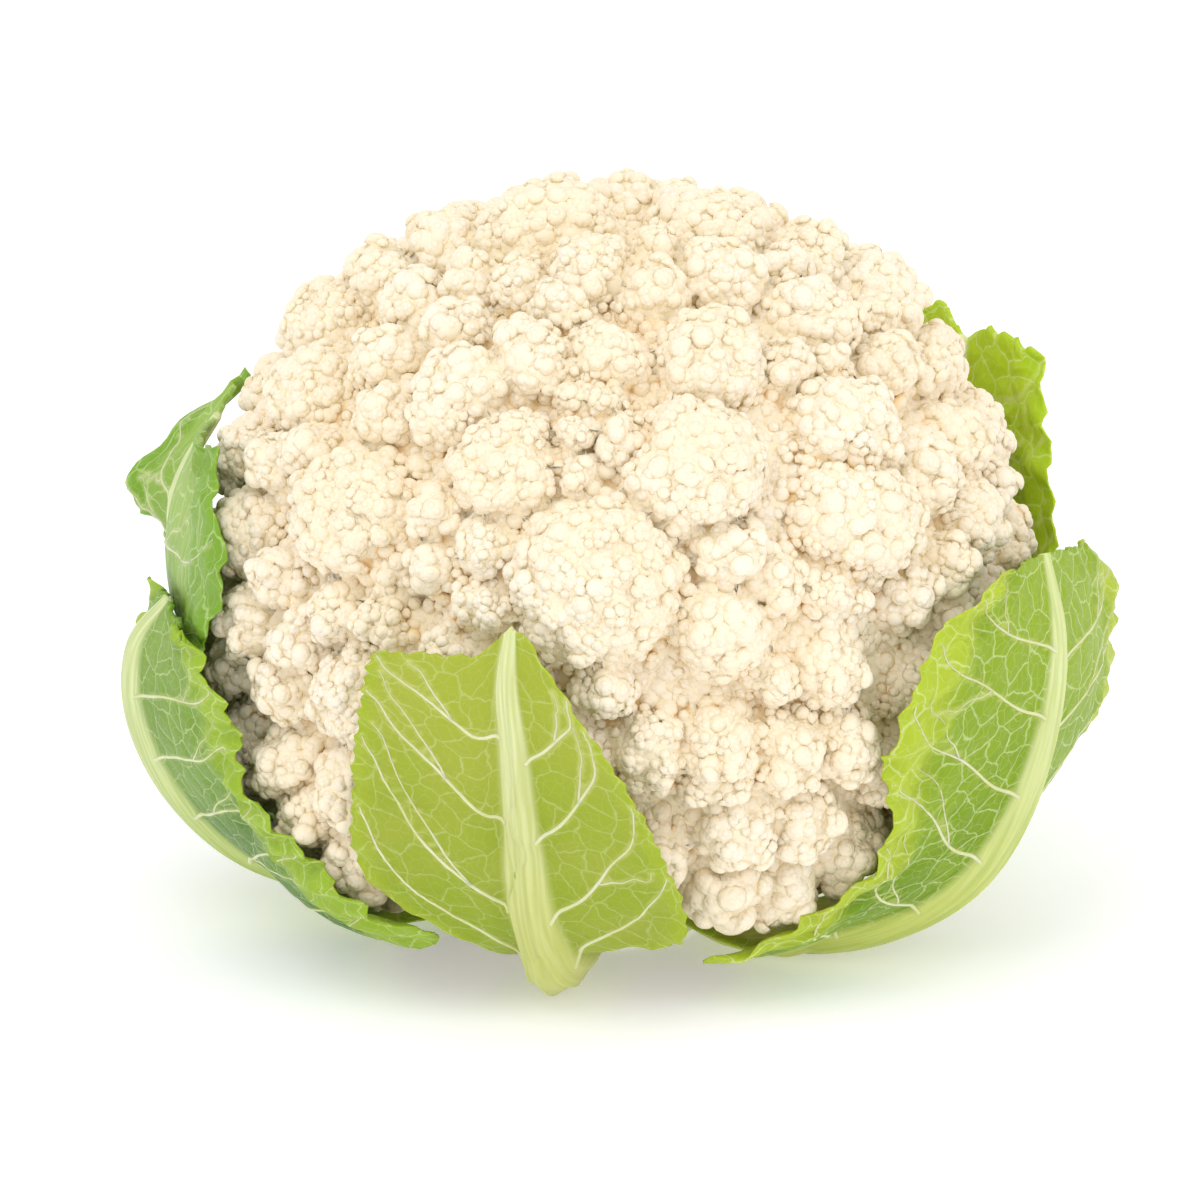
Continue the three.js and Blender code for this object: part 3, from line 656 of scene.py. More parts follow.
def bud_places(curd, settings, rng):
    """Where the buds sit, which way they face, how wide they are, and what they belong to.
    Also gives the bed that lies under them, as points, faces and clefts."""
    bed_directions = scattered(rng, SURFACE_POINTS)
    bed_faces = neighbour_faces(bed_directions)
    bed, _, bed_cleft = swollen(curd, settings, bed_directions)
    normals, areas = point_normals(bed, bed_faces)
    picked = bed_faces[rng.choice(len(bed_faces), CANDIDATES, p=areas / areas.sum())]
    weights = rng.dirichlet((1, 1, 1), CANDIDATES)[..., None]
    facing = unit((normals[picked] * weights).sum(1))
    directions = unit((bed[picked] * weights).sum(1) - CURD_CENTRE)
    places, owner, cleft = swollen(curd, settings, directions)
    coarse = 1 + COARSER * smoothstep(*COARSE_FROM, places[:, 1])
    coarse = coarse * (1 + smoothstep(*COARSE_BELOW, places[:, 2]))

    half = settings.clump_width / MM / 2
    spread = rng.uniform(*CLUMP_SIZES, CANDIDATES) * half
    clumps = sown(rng.permutation(CANDIDATES), places, CLUMP_CROWDING * spread)
    middles = places[clumps]
    tree = lookup(middles)

    def clumped(points, facing):
        """Points pushed out where clumps swell, which clump each is on, and how far out."""
        clump, away = (np.array(v) for v in zip(*(tree.find(point)[1:] for point in points)))
        fall = np.minimum(away / half, CLUMP_REACH) ** 2
        swell = settings.clump_drop / MM * (CLUMP_RISE - fall)
        return points + facing * swell[:, None], clump, away

    sink = settings.bed_depth / MM + CLEFT_SINK * bed_cleft
    bed = clumped(bed, normals)[0] - normals * sink[:, None]
    raised, clump, away = clumped(places, facing)
    facing = unit(facing + CLUMP_LEAN * (places - middles[clump]) / half)
    places = raised

    patch = waviness(middles, KNOB_PATCH, 1) + KNOB_CHANCE * rng.normal(0, 1, len(middles))
    knobs = patch > np.quantile(patch, 1 - settings.knob_share)
    radii = spread[clumps] * rng.uniform(*KNOB_SIZES, len(clumps))
    covered = knobs[clump] & (away < KNOB_COVER * radii[clump])

    small, large = settings.bud_smallest / MM / 2, settings.bud_largest / MM / 2
    share = rng.random(CANDIDATES) ** 2 + BUD_PATCH_SHARE * waviness(places, BUD_PATCH, 2)
    size = (small + (large - small) * np.clip(share, 0, 1)) * coarse
    order = rng.permutation(np.nonzero(~covered)[0])
    buds = sown(order, places, BUD_CROWDING * size)

    kept = np.concatenate([clumps[knobs], buds])
    sizes = np.concatenate([radii[knobs], size[buds]])
    buds = (places[kept], facing[kept], sizes, owner[kept], cleft[kept])
    return buds, (bed, bed_faces, bed_cleft)


def dome_mesh(name, sides, levels):
    """A round bud of radius 1 whose foot is closed to a point, for a tree to repeat."""
    turns = 2 * math.pi * np.arange(sides) / sides
    points, rises = [(0, 0, DOME_FOOT)], [0.0]
    for tip in levels:
        flat, z = math.sin(math.radians(tip)), math.cos(math.radians(tip))
        points += [(flat * math.cos(turn), flat * math.sin(turn), z) for turn in turns]
        rises += [max(z, 0)] * sides
    points.append((0, 0, 1))
    rises.append(1.0)
    faces = []
    last = len(points) - 1
    for i in range(sides):
        j = (i + 1) % sides
        faces.append((0, 1 + j, 1 + i))
        for ring in range(len(levels) - 1):
            a, b = 1 + ring * sides + i, 1 + ring * sides + j
            faces += [(a, b, b + sides), (a, b + sides, a + sides)]
        top = 1 + (len(levels) - 1) * sides
        faces.append((top + i, top + j, last))
    mesh = bpy.data.meshes.new(name)
    mesh.from_pydata(points, [], faces)
    mesh.polygons.foreach_set("use_smooth", np.full(len(faces), True))
    store(mesh, "rise", rises)
    return mesh


def bud_tree():
    """Sets a round bud on each point of one piece: a fine one if it is wide, or a plain one."""
    tree, given, result = geometry_tree(
        "Curd buds",
        [
            ("Piece", "NodeSocketInt", 0),
            ("Small bud", "NodeSocketObject", None),
            ("Knob", "NodeSocketObject", None),
            ("Knob radius", "NodeSocketFloat", 0.0016),
            ("Sunk share", "NodeSocketFloat", 0.7),
            ("Flattening", "NodeSocketFloat", 0.95),
            ("Seed", "NodeSocketInt", 0),
            ("Material", "NodeSocketMaterial", None),
        ],
    )

    def named(name, kind="FLOAT"):
        return node(
            tree, "GeometryNodeInputNamedAttribute", {"Name": name}, data_type=kind
        ).outputs[0]

    here = node(
        tree,
        "FunctionNodeCompare",
        {0: named("piece"), 1: given["Piece"], "Epsilon": 0.1},
        data_type="FLOAT",
        operation="EQUAL",
    ).outputs[0]
    sites = node(tree, "GeometryNodeSeparateGeometry", {0: given["Geometry"], 1: here}).outputs[0]
    radius = named("radius")
    depth = math_node(
        tree, "MULTIPLY", math_node(tree, "MULTIPLY", radius, given["Sunk share"]), -1.0
    )
    facing = named("facing", "FLOAT_VECTOR")
    inward = node(
        tree, "ShaderNodeVectorMath", {0: facing, "Scale": depth}, operation="SCALE"
    ).outputs[0]
    sunk = node(tree, "GeometryNodeSetPosition", {0: sites, "Offset": inward}).outputs[0]
    upright = node(
        tree, "FunctionNodeAlignRotationToVector", {"Vector": facing}, axis="Z"
    ).outputs[0]
    spin = node(
        tree,
        "FunctionNodeRandomValue",
        {1: (0, 0, 2 * math.pi), "Seed": given["Seed"]},
        data_type="FLOAT_VECTOR",
    ).outputs[0]
    turned = node(
        tree,
        "FunctionNodeRotateRotation",
        {"Rotation": upright, "Rotate By": spin},
        rotation_space="LOCAL",
    ).outputs[0]
    uneven = node(
        tree,
        "FunctionNodeRandomValue",
        {0: BUD_SCALES[0], 1: BUD_SCALES[1], "Seed": given["Seed"]},
        data_type="FLOAT_VECTOR",
    ).outputs[0]
    height = math_node(tree, "MULTIPLY", radius, given["Flattening"])
    flat = node(tree, "ShaderNodeCombineXYZ", {0: radius, 1: radius, 2: height}).outputs[0]
    scale = vector_node(tree, "MULTIPLY", flat, uneven)
    wide = node(
        tree,
        "FunctionNodeCompare",
        {0: radius, 1: given["Knob radius"]},
        data_type="FLOAT",
        operation="GREATER_THAN",
    ).outputs[0]
    narrow = node(tree, "FunctionNodeBooleanMath", {0: wide}, operation="NOT").outputs[0]
    joined = tree.nodes.new("GeometryNodeJoinGeometry")
    for label, chosen in (("Small bud", narrow), ("Knob", wide)):
        shape = node(tree, "GeometryNodeObjectInfo", {"Object": given[label]})
        buds = node(
            tree,
            "GeometryNodeInstanceOnPoints",
            {
                "Points": sunk,
                "Selection": chosen,
                "Instance": shape.outputs["Geometry"],
                "Rotation": turned,
                "Scale": scale,
            },
        ).outputs[0]
        tree.links.new(buds, joined.inputs[0])
    real = node(tree, "GeometryNodeRealizeInstances", {0: joined.outputs[0]}).outputs[0]
    dressed = {0: real, "Material": given["Material"]}
    done = node(tree, "GeometryNodeSetMaterial", dressed).outputs[0]
    tree.links.new(done, result)
    return tree


TONE_SPAN = (0.35, 0.65)         # span of the slow drift over which one colour gives way
GRAIN_EDGE = 0.4                 # squared distance from a grain's middle to its edge
FINEST_SHARE = 0.2               # height of the finest grain, as a share of a fine grain's
GRAIN_GAP = (0.0, 0.5)           # heights of a grain below which the groove's painted shade sets in,
GRAIN_SHADE = 0.2                # and the share of that painted shade between grains
TINT_SHARE = 0.5                 # most that one bud leans to its tint
GROOVE_SHADE_SPAN = (0.25, 0.9)        # rises between which the groove's painted shade gives way
GROOVE_CLEFT = 0.4               # share of a cleft's shade that reaches the buds' tops
CLEFT_SHADE_SPAN = (0.25, 1.0)
CLEFT_SHADE_SHARE = 0.8                # and most that the cleft's painted shade takes over


def fine_grains(tree, size):
    """Round grains on the buds' skin, from 0 between them to 1 on their tops."""
    place = node(tree, "ShaderNodeTexCoord").outputs["Object"]
    grid = {"Vector": place, "Scale": 1 / size, "Randomness": 0.9}
    away = node(tree, "ShaderNodeTexVoronoi", grid).outputs["Distance"]
    return ranged(tree, math_node(tree, "MULTIPLY", away, away), 0.0, GRAIN_EDGE, 1.0, 0.0)


def curd_material(settings, flesh):
    """Buds that are pale on top, with painted warm shade in their grooves and between their grains,
    and warmer painted shade still in the clefts.
    """
    material, tree, shader = new_material(
        "curd_flesh", roughness=0.6, scatter=settings.scatter, radius=(2.0, 1.5, 0.9), specular=0.3
    )
    rise, cleft, tint = (attribute(tree, name) for name in ("rise", "cleft", "tint"))
    grain = group_node(tree, flesh, {"Grain size": 0.0008, "Drift size": 0.03})
    tone = ranged(tree, grain["Tone"], *TONE_SPAN)
    top = mix(tree, tone, settings.top_colour, settings.warm_colour)
    top = mix(tree, ranged(tree, tint, 0.0, 1.0, 0.0, TINT_SHARE), top, settings.tint_colour)
    # Painted shade: the low sides of each bud, and the bed, take the groove's warm colour.
    low = ranged(tree, rise, *GROOVE_SHADE_SPAN, 1.0, 0.0)
    colour = mix(tree, low, top, settings.groove_shade_colour)
    bulge = fine_grains(tree, settings.grain_size)
    # Painted shade between the fine grains.
    between = ranged(tree, bulge, *GRAIN_GAP, GRAIN_SHADE, 0.0)
    colour = mix(tree, between, colour, settings.groove_shade_colour)
    # Painted warm shade in the clefts between florets, reaching less far up the buds' tops.
    shade = math_node(tree, "MULTIPLY_ADD", low, 1 - GROOVE_CLEFT, GROOVE_CLEFT)
    deep = math_node(tree, "MULTIPLY", cleft, shade)
    sunk = ranged(tree, deep, *CLEFT_SHADE_SPAN, 0.0, CLEFT_SHADE_SHARE)
    colour = mix(tree, sunk, colour, settings.cleft_shade_colour)
    tree.links.new(colour, shader.inputs["Base Color"])
    relief = math_node(tree, "MULTIPLY_ADD", grain["Height"], FINEST_SHARE, bulge)
    add_bump(tree, shader, relief, settings.grain_relief, strength=0.7)
    return material


def make_curd(settings, curd, flesh):
    """Adds the bed and the buds, split by the side that their floret faces."""
    rng = np.random.default_rng(BUD_SEED)
    (places, facing, radii, owner, cleft), ground = bud_places(curd, settings, rng)
    material = curd_material(settings, flesh)

    bed = new_mesh("curd_bed", ground[0], ground[1])
    # The bed has no rise, so it takes the groove's painted shade all over, and the clefts' painted
    # shade where it lies in one.
    store(bed, "rise", np.zeros(len(ground[0])))
    store(bed, "cleft", ground[2])
    bed.materials.append(material)
    add_piece("curd_bed", bed, "curd")

    floret = np.vstack([curd.facing, [0, 0, -1]])[owner]
    quarter = np.round(np.arctan2(floret[:, 1], floret[:, 0]) / (math.pi / 2)).astype(int) % 4
    piece = np.where(floret[:, 2] > CROWN_FROM, 0, quarter + 1)
    piece = np.where(owner == len(curd.at), UNDERSIDE_PIECE, piece)
    sites = bpy.data.meshes.new("bud_sites")
    sites.from_pydata((places * MM).tolist(), [], [])
    store(sites, "radius", radii * MM)
    store(sites, "piece", piece)
    store(sites, "cleft", cleft)
    store(sites, "tint", rng.random(len(radii)))
    vectors = sites.attributes.new("facing", "FLOAT_VECTOR", "POINT")
    vectors.data.foreach_set("vector", facing.astype(np.float32).ravel())

    small = bpy.data.objects.new("small_bud", dome_mesh("small_bud", *SMALL_DOME))
    knob = bpy.data.objects.new("knob", dome_mesh("knob", *KNOB_DOME))
    tree = bud_tree()
    names = ["curd_crown", *(f"curd_{side}" for side in SIDE_NAMES), "curd_underside"]
    for index, name in enumerate(names):
        values = {
            "Piece": index,
            "Small bud": small,
            "Knob": knob,
            "Seed": BUD_SEED + index,
            "Material": material,
        }
        add_piece(name, grown(name, sites, tree, values), "curd")
    for shape in (small, knob):
        mesh = shape.data
        bpy.data.objects.remove(shape)
        bpy.data.meshes.remove(mesh)
    bpy.data.meshes.remove(sites)


# -------------------------------------------------------------------------------- leaves

ROOT_RADIUS = 22.6               # leaves spring from the stem at this radius
LEAF_LIFT = 2.4                  # least distance from a leaf's middle surface to the florets
LOBE_SHADE = 60                  # how fast a lobe's reach dies away, per radian squared
LEAF_FLOOR = 0.5                 # no leaf reaches lower than this on its outer side,
LEAF_FLOOR_INSIDE = 0.7          # or than this on its inner side
LEAF_ROWS = 112
LEAF_COLUMNS = 46
COLUMN_CROWDING = 1.2            # power by which the columns crowd towards the margin
RIB_COLUMNS = 0.24               # share of the columns that lie on the midrib
RIB_WIDEST = 0.8                 # a rib takes up no more than this share of the blade
RIB_HALF = [(0, 7), (0.15, 7.2), (0.35, 5.4), (0.6, 3.3), (0.85, 2.2), (1, 1.2)]
RIB_DEPTH = [(0, 6.5), (0.15, 6.2), (0.35, 5), (0.6, 3.4), (0.85, 1.9), (1, 0.9)]
RIB_INSIDE = 0.22                # share of the depth that also stands on the inner side
RIB_ROUNDING = 1.25              # power that rounds the midrib's section
RIB_GROOVES = 5                  # half waves of the ridges from its crest to its edge,
RIDGE_HEIGHT = 0.09              # and their height as a share of its depth
RUFFLE_FROM = (0.2, 0.4)         # shares of the length over which the ruffle sets in
RUFFLE_SHIFT = 0.6               # the ruffle stands out by this share of its height,
RUFFLE_SWING = 0.6               # and a wave goes this far to each side of that
RUFFLE_SLANT = 0.3               # waves by which it runs ahead at the right margin
FRILL_SHIFT, FRILL_SWING = 0.3, 0.7   # the same two shares for the folds of a margin
FRILL_LAG = 3                    # angle by which the folds of the two margins differ
PUCKERS = [(1.0, 7.0, 4), (0.5, 3.2, 5)]   # share, size and seed of each layer of puckers
BAND_EDGE = 0.12                 # width of the edge of a crinkled band, as a share
TOOTH_DRIFT = 0.35               # how far a pucker pulls the teeth along, in teeth
EDGE_THINNING = 0.55             # share of the thickness that is lost at the margin
VEIN_SWELL = 0.28                # how far the blade swells beside a side vein,
VEIN_SWELL_INSIDE = 0.6          # and the share of that on its inner side
VEIN_SUNK = 0.35                 # share of a side vein's half width that lies in the blade
RIB_FADE = 0.8                   # power by which the midrib's colour fades to its edge
MAP_SCALE = 0.1                  # a blade's map is in centimetres

# Where things set in and where they are whole, as shares of a blade's length (UP) or of its
# width from the midrib (OUT). The teeth and folds of the upper margin have spans of their own.
FRILL_OUT = (0.7, 1)
TOP_FRILL_UP, TOP_FRILL_OUT = (0.9, 1), (0.2, 0.5)
PUCKER_OUT = (0.15, 0.8)
TEETH_UP, TEETH_OUT = (0.3, 0.4), (0.86, 1)
TOP_TEETH_UP, TOP_TEETH_OUT = (0.965, 1), (0.1, 0.3)
TOP_TEETH = 0.5                  # height of those teeth as a share of the others'
RIDGES_UP = (0.02, 0.15)
EDGE_OUT = (0.93, 1)

LEAF_SEED = 100
VEIN_POINTS, FORK_POINTS = 26, 16   # points along a side vein and along a fork
VEIN_ROOT, VEIN_END = 0.7, 0.94  # a side vein runs from this share of the midrib to this column
VEIN_WIDTH = 0.78                # its half width where it starts,
VEIN_THINNING = 0.35             # less this share for a vein at the tip,
VEIN_TAPER = 0.7                 # and the share of it that is lost on the way
VEIN_CLIMBS = (0.85, 1.15)       # how much of the leaf's own climb it climbs,
CLIMB_LOSS = 0.45                # less this share for a vein at the tip
VEIN_BENDS = (1.1, 1.5)          # power that bends it upwards
VEIN_SWAY = (0.012, 1.2, 1.8)    # height, and least and most waves, of its sway
VEIN_HIGHEST = 0.99              # veins that climb higher are left out
FORK_FROM = (0.25, 0.6)          # shares of a side vein between which it forks
FORK_TO = (0.68, 0.88)           # columns between which a fork ends
FORK_SPREAD = (0.4, 0.6)         # how far it spreads, as a share of the gap between veins,
FORK_BEND = 0.8                  # and the power that bends it
FORK_SWAY = (0.008, 1.5, 2.5)
FORK_WIDTH = 0.7                 # its width as a share of the vein's where they part

# Each leaf hangs on three rails, as in the part: [azimuth in degrees, radius, height] from
# the root to the tip, for its spine and its left and right margins, and `top` says which
# share of them each part of its width reaches. `rib` and `rib_width` scale the midrib,
# `ruffle` is in millimetres and has `waves` waves, and `net`, `pucker` and `teeth` scale those.
# Beyond `band`, a share of the width, the blade has its margin's colour and is crinkled by
# `crinkle` more. Veins leave the midrib at shares of its length, and climb by `climb`.
LEAVES = [
    {
        "name": "leaf_front", "rib": 1.15, "rib_width": 1.15, "ruffle": 0.8, "waves": 2.5,
        "net": 0.5, "pucker": 0.35, "teeth": 0.7, "band": 0.9, "crinkle": 0.0,
        "blade": (158, 172, 54), "light": (174, 184, 60), "deep": (148, 168, 36),
        "rib_colour": (206, 210, 130), "margin": (166, 184, 40),
        "left_veins": [0.26, 0.44, 0.6, 0.76], "right_veins": [0.28, 0.42, 0.56, 0.7],
        "climb": 0.3, "top": [(-1, 1), (-0.22, 0.93), (0, 1), (1, 1)],
        "spine": [
            (-98, ROOT_RADIUS, 9.5), (-99, 42, 8), (-100, 59, 12), (-101, 71, 27),
            (-101, 79, 45), (-101, 86, 63), (-101.5, 89, 77), (-101, 89.5, 88.5),
        ],
        "left": [
            (-117, ROOT_RADIUS, 10), (-112, 42, 9), (-113, 61, 17), (-124.5, 75, 33),
            (-124.5, 83, 50), (-122, 87.5, 65), (-120.5, 89, 74), (-119, 88.5, 80.5),
        ],
        "right": [
            (-79, ROOT_RADIUS, 10), (-86, 42, 9), (-89, 59, 14), (-76, 65, 19.5),
            (-81, 80, 38), (-87, 87, 57), (-93, 89.5, 72), (-99.3, 89.5, 87),
        ],
    },
    {
        "name": "leaf_right", "rib": 1, "rib_width": 1.35, "ruffle": 1.6, "waves": 4.5,
        "net": 1.0, "pucker": 0.9, "teeth": 1.0, "band": 0.74, "crinkle": 1.0,
        "blade": (128, 160, 20), "light": (156, 182, 38), "deep": (110, 146, 12),
        "rib_colour": (206, 214, 120), "margin": (190, 206, 58),
        "left_veins": [0.26, 0.38, 0.5, 0.61, 0.72, 0.83],
        "right_veins": [0.25, 0.4, 0.54, 0.68, 0.8],
        "climb": 0.2, "top": [(-1, 1), (0, 1), (1, 1)],
        "spine": [
            (-36, ROOT_RADIUS, 9.5), (-33, 42, 7.5), (-27, 60, 9.5), (-23, 76.5, 18),
            (-22.5, 88, 33), (-21, 94, 53), (-18.5, 94.5, 69), (-16.5, 91, 84.5),
        ],
        "left": [
            (-54, ROOT_RADIUS, 10), (-50, 42, 10), (-70, 56, 14), (-57, 68, 20),
            (-47, 76, 36), (-49, 85, 57), (-44, 88.5, 76), (-31, 89, 86),
        ],
        "right": [
            (-17, ROOT_RADIUS, 10), (-20, 42, 9.5), (-8, 62, 13), (0, 80, 24),
            (4, 95, 38), (6, 102, 52), (7, 102.5, 64), (7, 98, 76),
        ],
    },
    {
        "name": "leaf_right_back", "rib": 0.8, "rib_width": 1.2, "ruffle": 1.6, "waves": 3.5,
        "net": 0.9, "pucker": 0.7, "teeth": 1.1, "band": 0.8, "crinkle": 0.5,
        "blade": (170, 196, 24), "light": (190, 212, 50), "deep": (146, 178, 18),
        "rib_colour": (220, 228, 146), "margin": (178, 206, 36),
        "left_veins": [0.4, 0.52, 0.64, 0.76, 0.87], "right_veins": [0.4, 0.54, 0.68, 0.82],
        "climb": 0.18, "top": [(-1, 0.98), (-0.3, 0.99), (0, 0.96), (0.5, 1), (1, 1)],
        "spine": [
            (20, ROOT_RADIUS, 12), (22, 42, 11), (26, 60, 15.5), (30, 75, 28),
            (33, 85, 46), (35, 90, 68), (35, 89, 90), (33, 89, 114),
        ],
        "left": [
            (3, ROOT_RADIUS, 12.5), (7, 42, 12.5), (7, 62, 19), (8, 77, 31),
            (9, 86, 47), (11, 91, 67), (15, 93, 90), (21, 92, 112),
        ],
        "right": [
            (37, ROOT_RADIUS, 12.5), (38, 42, 12), (44, 62, 18.5), (49, 76, 32),
            (50, 86, 50), (48, 90, 72), (45, 90, 93), (43, 89, 112),
        ],
    },
    {
        "name": "leaf_back_right", "rib": 1, "rib_width": 1.2, "ruffle": 1.8, "waves": 3.5,
        "net": 0.9, "pucker": 0.7, "teeth": 1.0, "band": 0.78, "crinkle": 0.6,
        "blade": (151, 174, 62), "light": (172, 187, 83), "deep": (136, 162, 45),
        "rib_colour": (210, 212, 145), "margin": (167, 185, 73),
        "left_veins": [0.3, 0.43, 0.56, 0.69, 0.82], "right_veins": [0.3, 0.44, 0.58, 0.72, 0.84],
        "climb": 0.2, "top": [(-1, 0.97), (-0.5, 1), (0, 0.97), (0.5, 1), (1, 0.96)],
        "spine": [
            (62, ROOT_RADIUS, 9.5), (64, 42, 8), (67, 60, 11.5), (70, 75, 23),
            (73, 87, 42), (75, 94, 62), (76, 96, 80), (77, 92, 93),
        ],
        "left": [
            (45, ROOT_RADIUS, 10), (48, 42, 9.5), (52, 64, 15), (53, 83, 28),
            (55, 95, 44), (57, 99, 60), (60, 98, 76), (66, 94, 89),
        ],
        "right": [
            (79, ROOT_RADIUS, 10), (80, 42, 9.5), (83, 62, 14), (88, 76, 27),
            (92, 86, 44), (92, 91, 61), (90, 92, 77), (85, 91, 90),
        ],
    },
    {
        "name": "leaf_back_left", "rib": 1.05, "rib_width": 1.2, "ruffle": 2, "waves": 3.5,
        "net": 0.9, "pucker": 0.7, "teeth": 1.0, "band": 0.76, "crinkle": 0.8,
        "blade": (129, 158, 51), "light": (158, 178, 77), "deep": (110, 142, 36),
        "rib_colour": (206, 208, 145), "margin": (151, 176, 62),
        "left_veins": [0.3, 0.43, 0.56, 0.69, 0.82], "right_veins": [0.3, 0.44, 0.58, 0.72, 0.84],
        "climb": 0.2, "top": [(-1, 1), (-0.5, 0.97), (0, 1), (0.5, 0.97), (1, 1)],
        "spine": [
            (102, ROOT_RADIUS, 9.5), (104, 42, 8), (107, 60, 11), (110, 76, 22),
            (113, 89, 40), (115, 96, 58), (116, 98, 74), (117, 94, 86),
        ],
        "left": [
            (86, ROOT_RADIUS, 10), (90, 42, 9.5), (93, 62, 13), (93, 82, 25),
            (92, 96, 42), (93, 101, 58), (98, 101, 72), (107, 96, 83),
        ],
        "right": [
            (118, ROOT_RADIUS, 10), (120, 42, 9.5), (124, 62, 14), (130, 79, 27),
            (133, 91, 44), (134, 97, 60), (132, 98, 74), (126, 95, 84),
        ],
    },
    {
        "name": "leaf_left_back", "rib": 0.85, "rib_width": 1.9, "ruffle": 1.6, "waves": 4,
        "net": 0.8, "pucker": 0.8, "teeth": 1.3, "band": 0.7, "crinkle": 0.5,
        "blade": (124, 164, 48), "light": (160, 190, 84), "deep": (88, 136, 26),
        "rib_colour": (206, 216, 150), "margin": (120, 164, 34),
        "left_veins": [0.36, 0.48, 0.6, 0.72, 0.84], "right_veins": [0.36, 0.5, 0.64, 0.78],
        "climb": 0.2, "top": [(-1, 1), (-0.6, 1), (0, 0.98), (0.5, 1), (1, 1)],
        "spine": [
            (142, ROOT_RADIUS, 12), (143, 42, 11), (146, 60, 16), (150, 75, 28),
            (154, 85, 45), (157, 92, 64), (157.5, 91, 82), (155, 84, 97),
        ],
        "left": [
            (125, ROOT_RADIUS, 12.5), (129, 42, 12), (136, 64, 20), (142, 80, 36),
            (147, 90, 54), (151, 99, 67), (152, 106, 77), (141, 91.5, 98),
        ],
        "right": [
            (157, ROOT_RADIUS, 12.5), (155, 42, 12), (158, 60, 20), (172, 71, 33),
            (188, 75, 48), (202, 76, 63), (208, 76, 82), (198, 74, 103),
        ],
    },
    {
        "name": "leaf_left", "rib": 1, "rib_width": 2.1, "ruffle": 1.4, "waves": 4.5,
        "net": 0.8, "pucker": 0.8, "teeth": 1.5, "band": 0.72, "crinkle": 1.3,
        "blade": (106, 144, 54), "light": (136, 168, 58), "deep": (80, 120, 40),
        "rib_colour": (188, 204, 112), "margin": (164, 192, 44),
        "left_veins": [0.3, 0.44, 0.58, 0.72, 0.84], "right_veins": [0.28, 0.4, 0.52, 0.64, 0.76],
        "climb": 0.18, "top": [(-1, 1), (0, 1), (1, 1)],
        "spine": [
            (180, ROOT_RADIUS, 9.5), (178, 41, 8), (177, 57, 11), (180, 72, 17),
            (183, 84.5, 30), (185, 92, 46), (186.5, 92.5, 61), (190, 86.5, 72),
        ],
        "left": [
            (164, ROOT_RADIUS, 10), (164, 41, 9.5), (162, 58, 12.5), (163, 74, 21),
            (165, 85, 35), (166, 91, 49), (170, 91, 60), (180, 86.5, 69),
        ],
        "right": [
            (197, ROOT_RADIUS, 10), (203, 41, 9.5), (240, 64, 14), (234, 72, 26),
            (224, 76, 37), (215, 82, 48), (213, 86, 60), (206, 90, 72),
        ],
    },
]


def rail(points, t):
    """A Catmull-Rom curve through points, at shares t of its length in spans."""
    points = np.array(points, float)
    points = np.vstack([2 * points[0] - points[1], points, 2 * points[-1] - points[-2]])
    spans = len(points) - 3
    at = np.clip(t, 0, 1) * spans
    first = np.minimum(at.astype(int), spans - 1)
    w = (at - first)[..., None]
    a, b, c, d = (points[first + i] for i in range(4))
    start, end = 0.5 * (c - a), 0.5 * (d - b)
    return (
        (2 * b - 2 * c + start + end) * w**3
        + (-3 * b + 3 * c - 2 * start - end) * w**2
        + start * w
        + b
    )


def from_cylinder(points):
    """Points given as (azimuth in degrees, radius, height)."""
    turn = np.radians(points[..., 0])
    radius = points[..., 1]
    return np.stack([radius * np.cos(turn), radius * np.sin(turn), points[..., 2]], -1)


def lift_clear(points, tops):
    """Moves points straight out from the curd's centre until they clear its lobes."""
    directions, reaches = tops
    away = (points - CURD_CENTRE).reshape(-1, 3)
    reach = np.linalg.norm(away, axis=1)
    away = away / reach[:, None]
    for low in range(0, len(away), BATCH):
        part = slice(low, low + BATCH)
        apart = 2 - 2 * away[part] @ directions.T
        cover = (reaches - LOBE_SHADE * apart + LEAF_LIFT).max(1)
        reach[part] = np.maximum(reach[part], cover)
    return (away * reach[:, None] + CURD_CENTRE).reshape(points.shape)


def leaf_sheet(leaf, tops):
    """The leaf's middle surface as a grid. Also gives the share of the length, the column
    from -1 to 1 and the share of the width at each point."""
    level = np.linspace(0, 1, LEAF_ROWS + 1)[:, None] * np.ones(LEAF_COLUMNS + 1)
    column = np.linspace(-1, 1, LEAF_COLUMNS + 1)[None, :] * np.ones((LEAF_ROWS + 1, 1))
    rails = {key: rail(leaf[key], level) for key in ("spine", "left", "right")}
    crest = from_cylinder(rails["spine"])
    ribs = profile(RIB_HALF, level) * leaf["rib_width"]
    left, right = (
        np.linalg.norm(crest - from_cylinder(rails[side]), axis=-1) for side in ("left", "right")
    )
    share = np.minimum(ribs / np.where(column < 0, left, right), RIB_WIDEST)
    out = np.abs(column)
    on_rib = out < RIB_COLUMNS
    beyond = (out - RIB_COLUMNS) / (1 - RIB_COLUMNS)
    spread = 1 - (1 - beyond) ** COLUMN_CROWDING
    place = np.where(on_rib, share * out / RIB_COLUMNS, share + (1 - share) * spread)
    place = place * np.sign(column)
    along = level * profile(leaf["top"], place)
    spine = rail(leaf["spine"], along)
    margins = rail(leaf["left"], along), rail(leaf["right"], along)
    margin = np.where((place < 0)[..., None], *margins)
    sheet = from_cylinder(spine + (margin - spine) * np.abs(place)[..., None])
    return lift_clear(sheet, tops), level, column, place


def sheet_normals(sheet):
    along = np.gradient(sheet, axis=0)
    across = np.gradient(sheet, axis=1)
    return unit(np.cross(across, along))


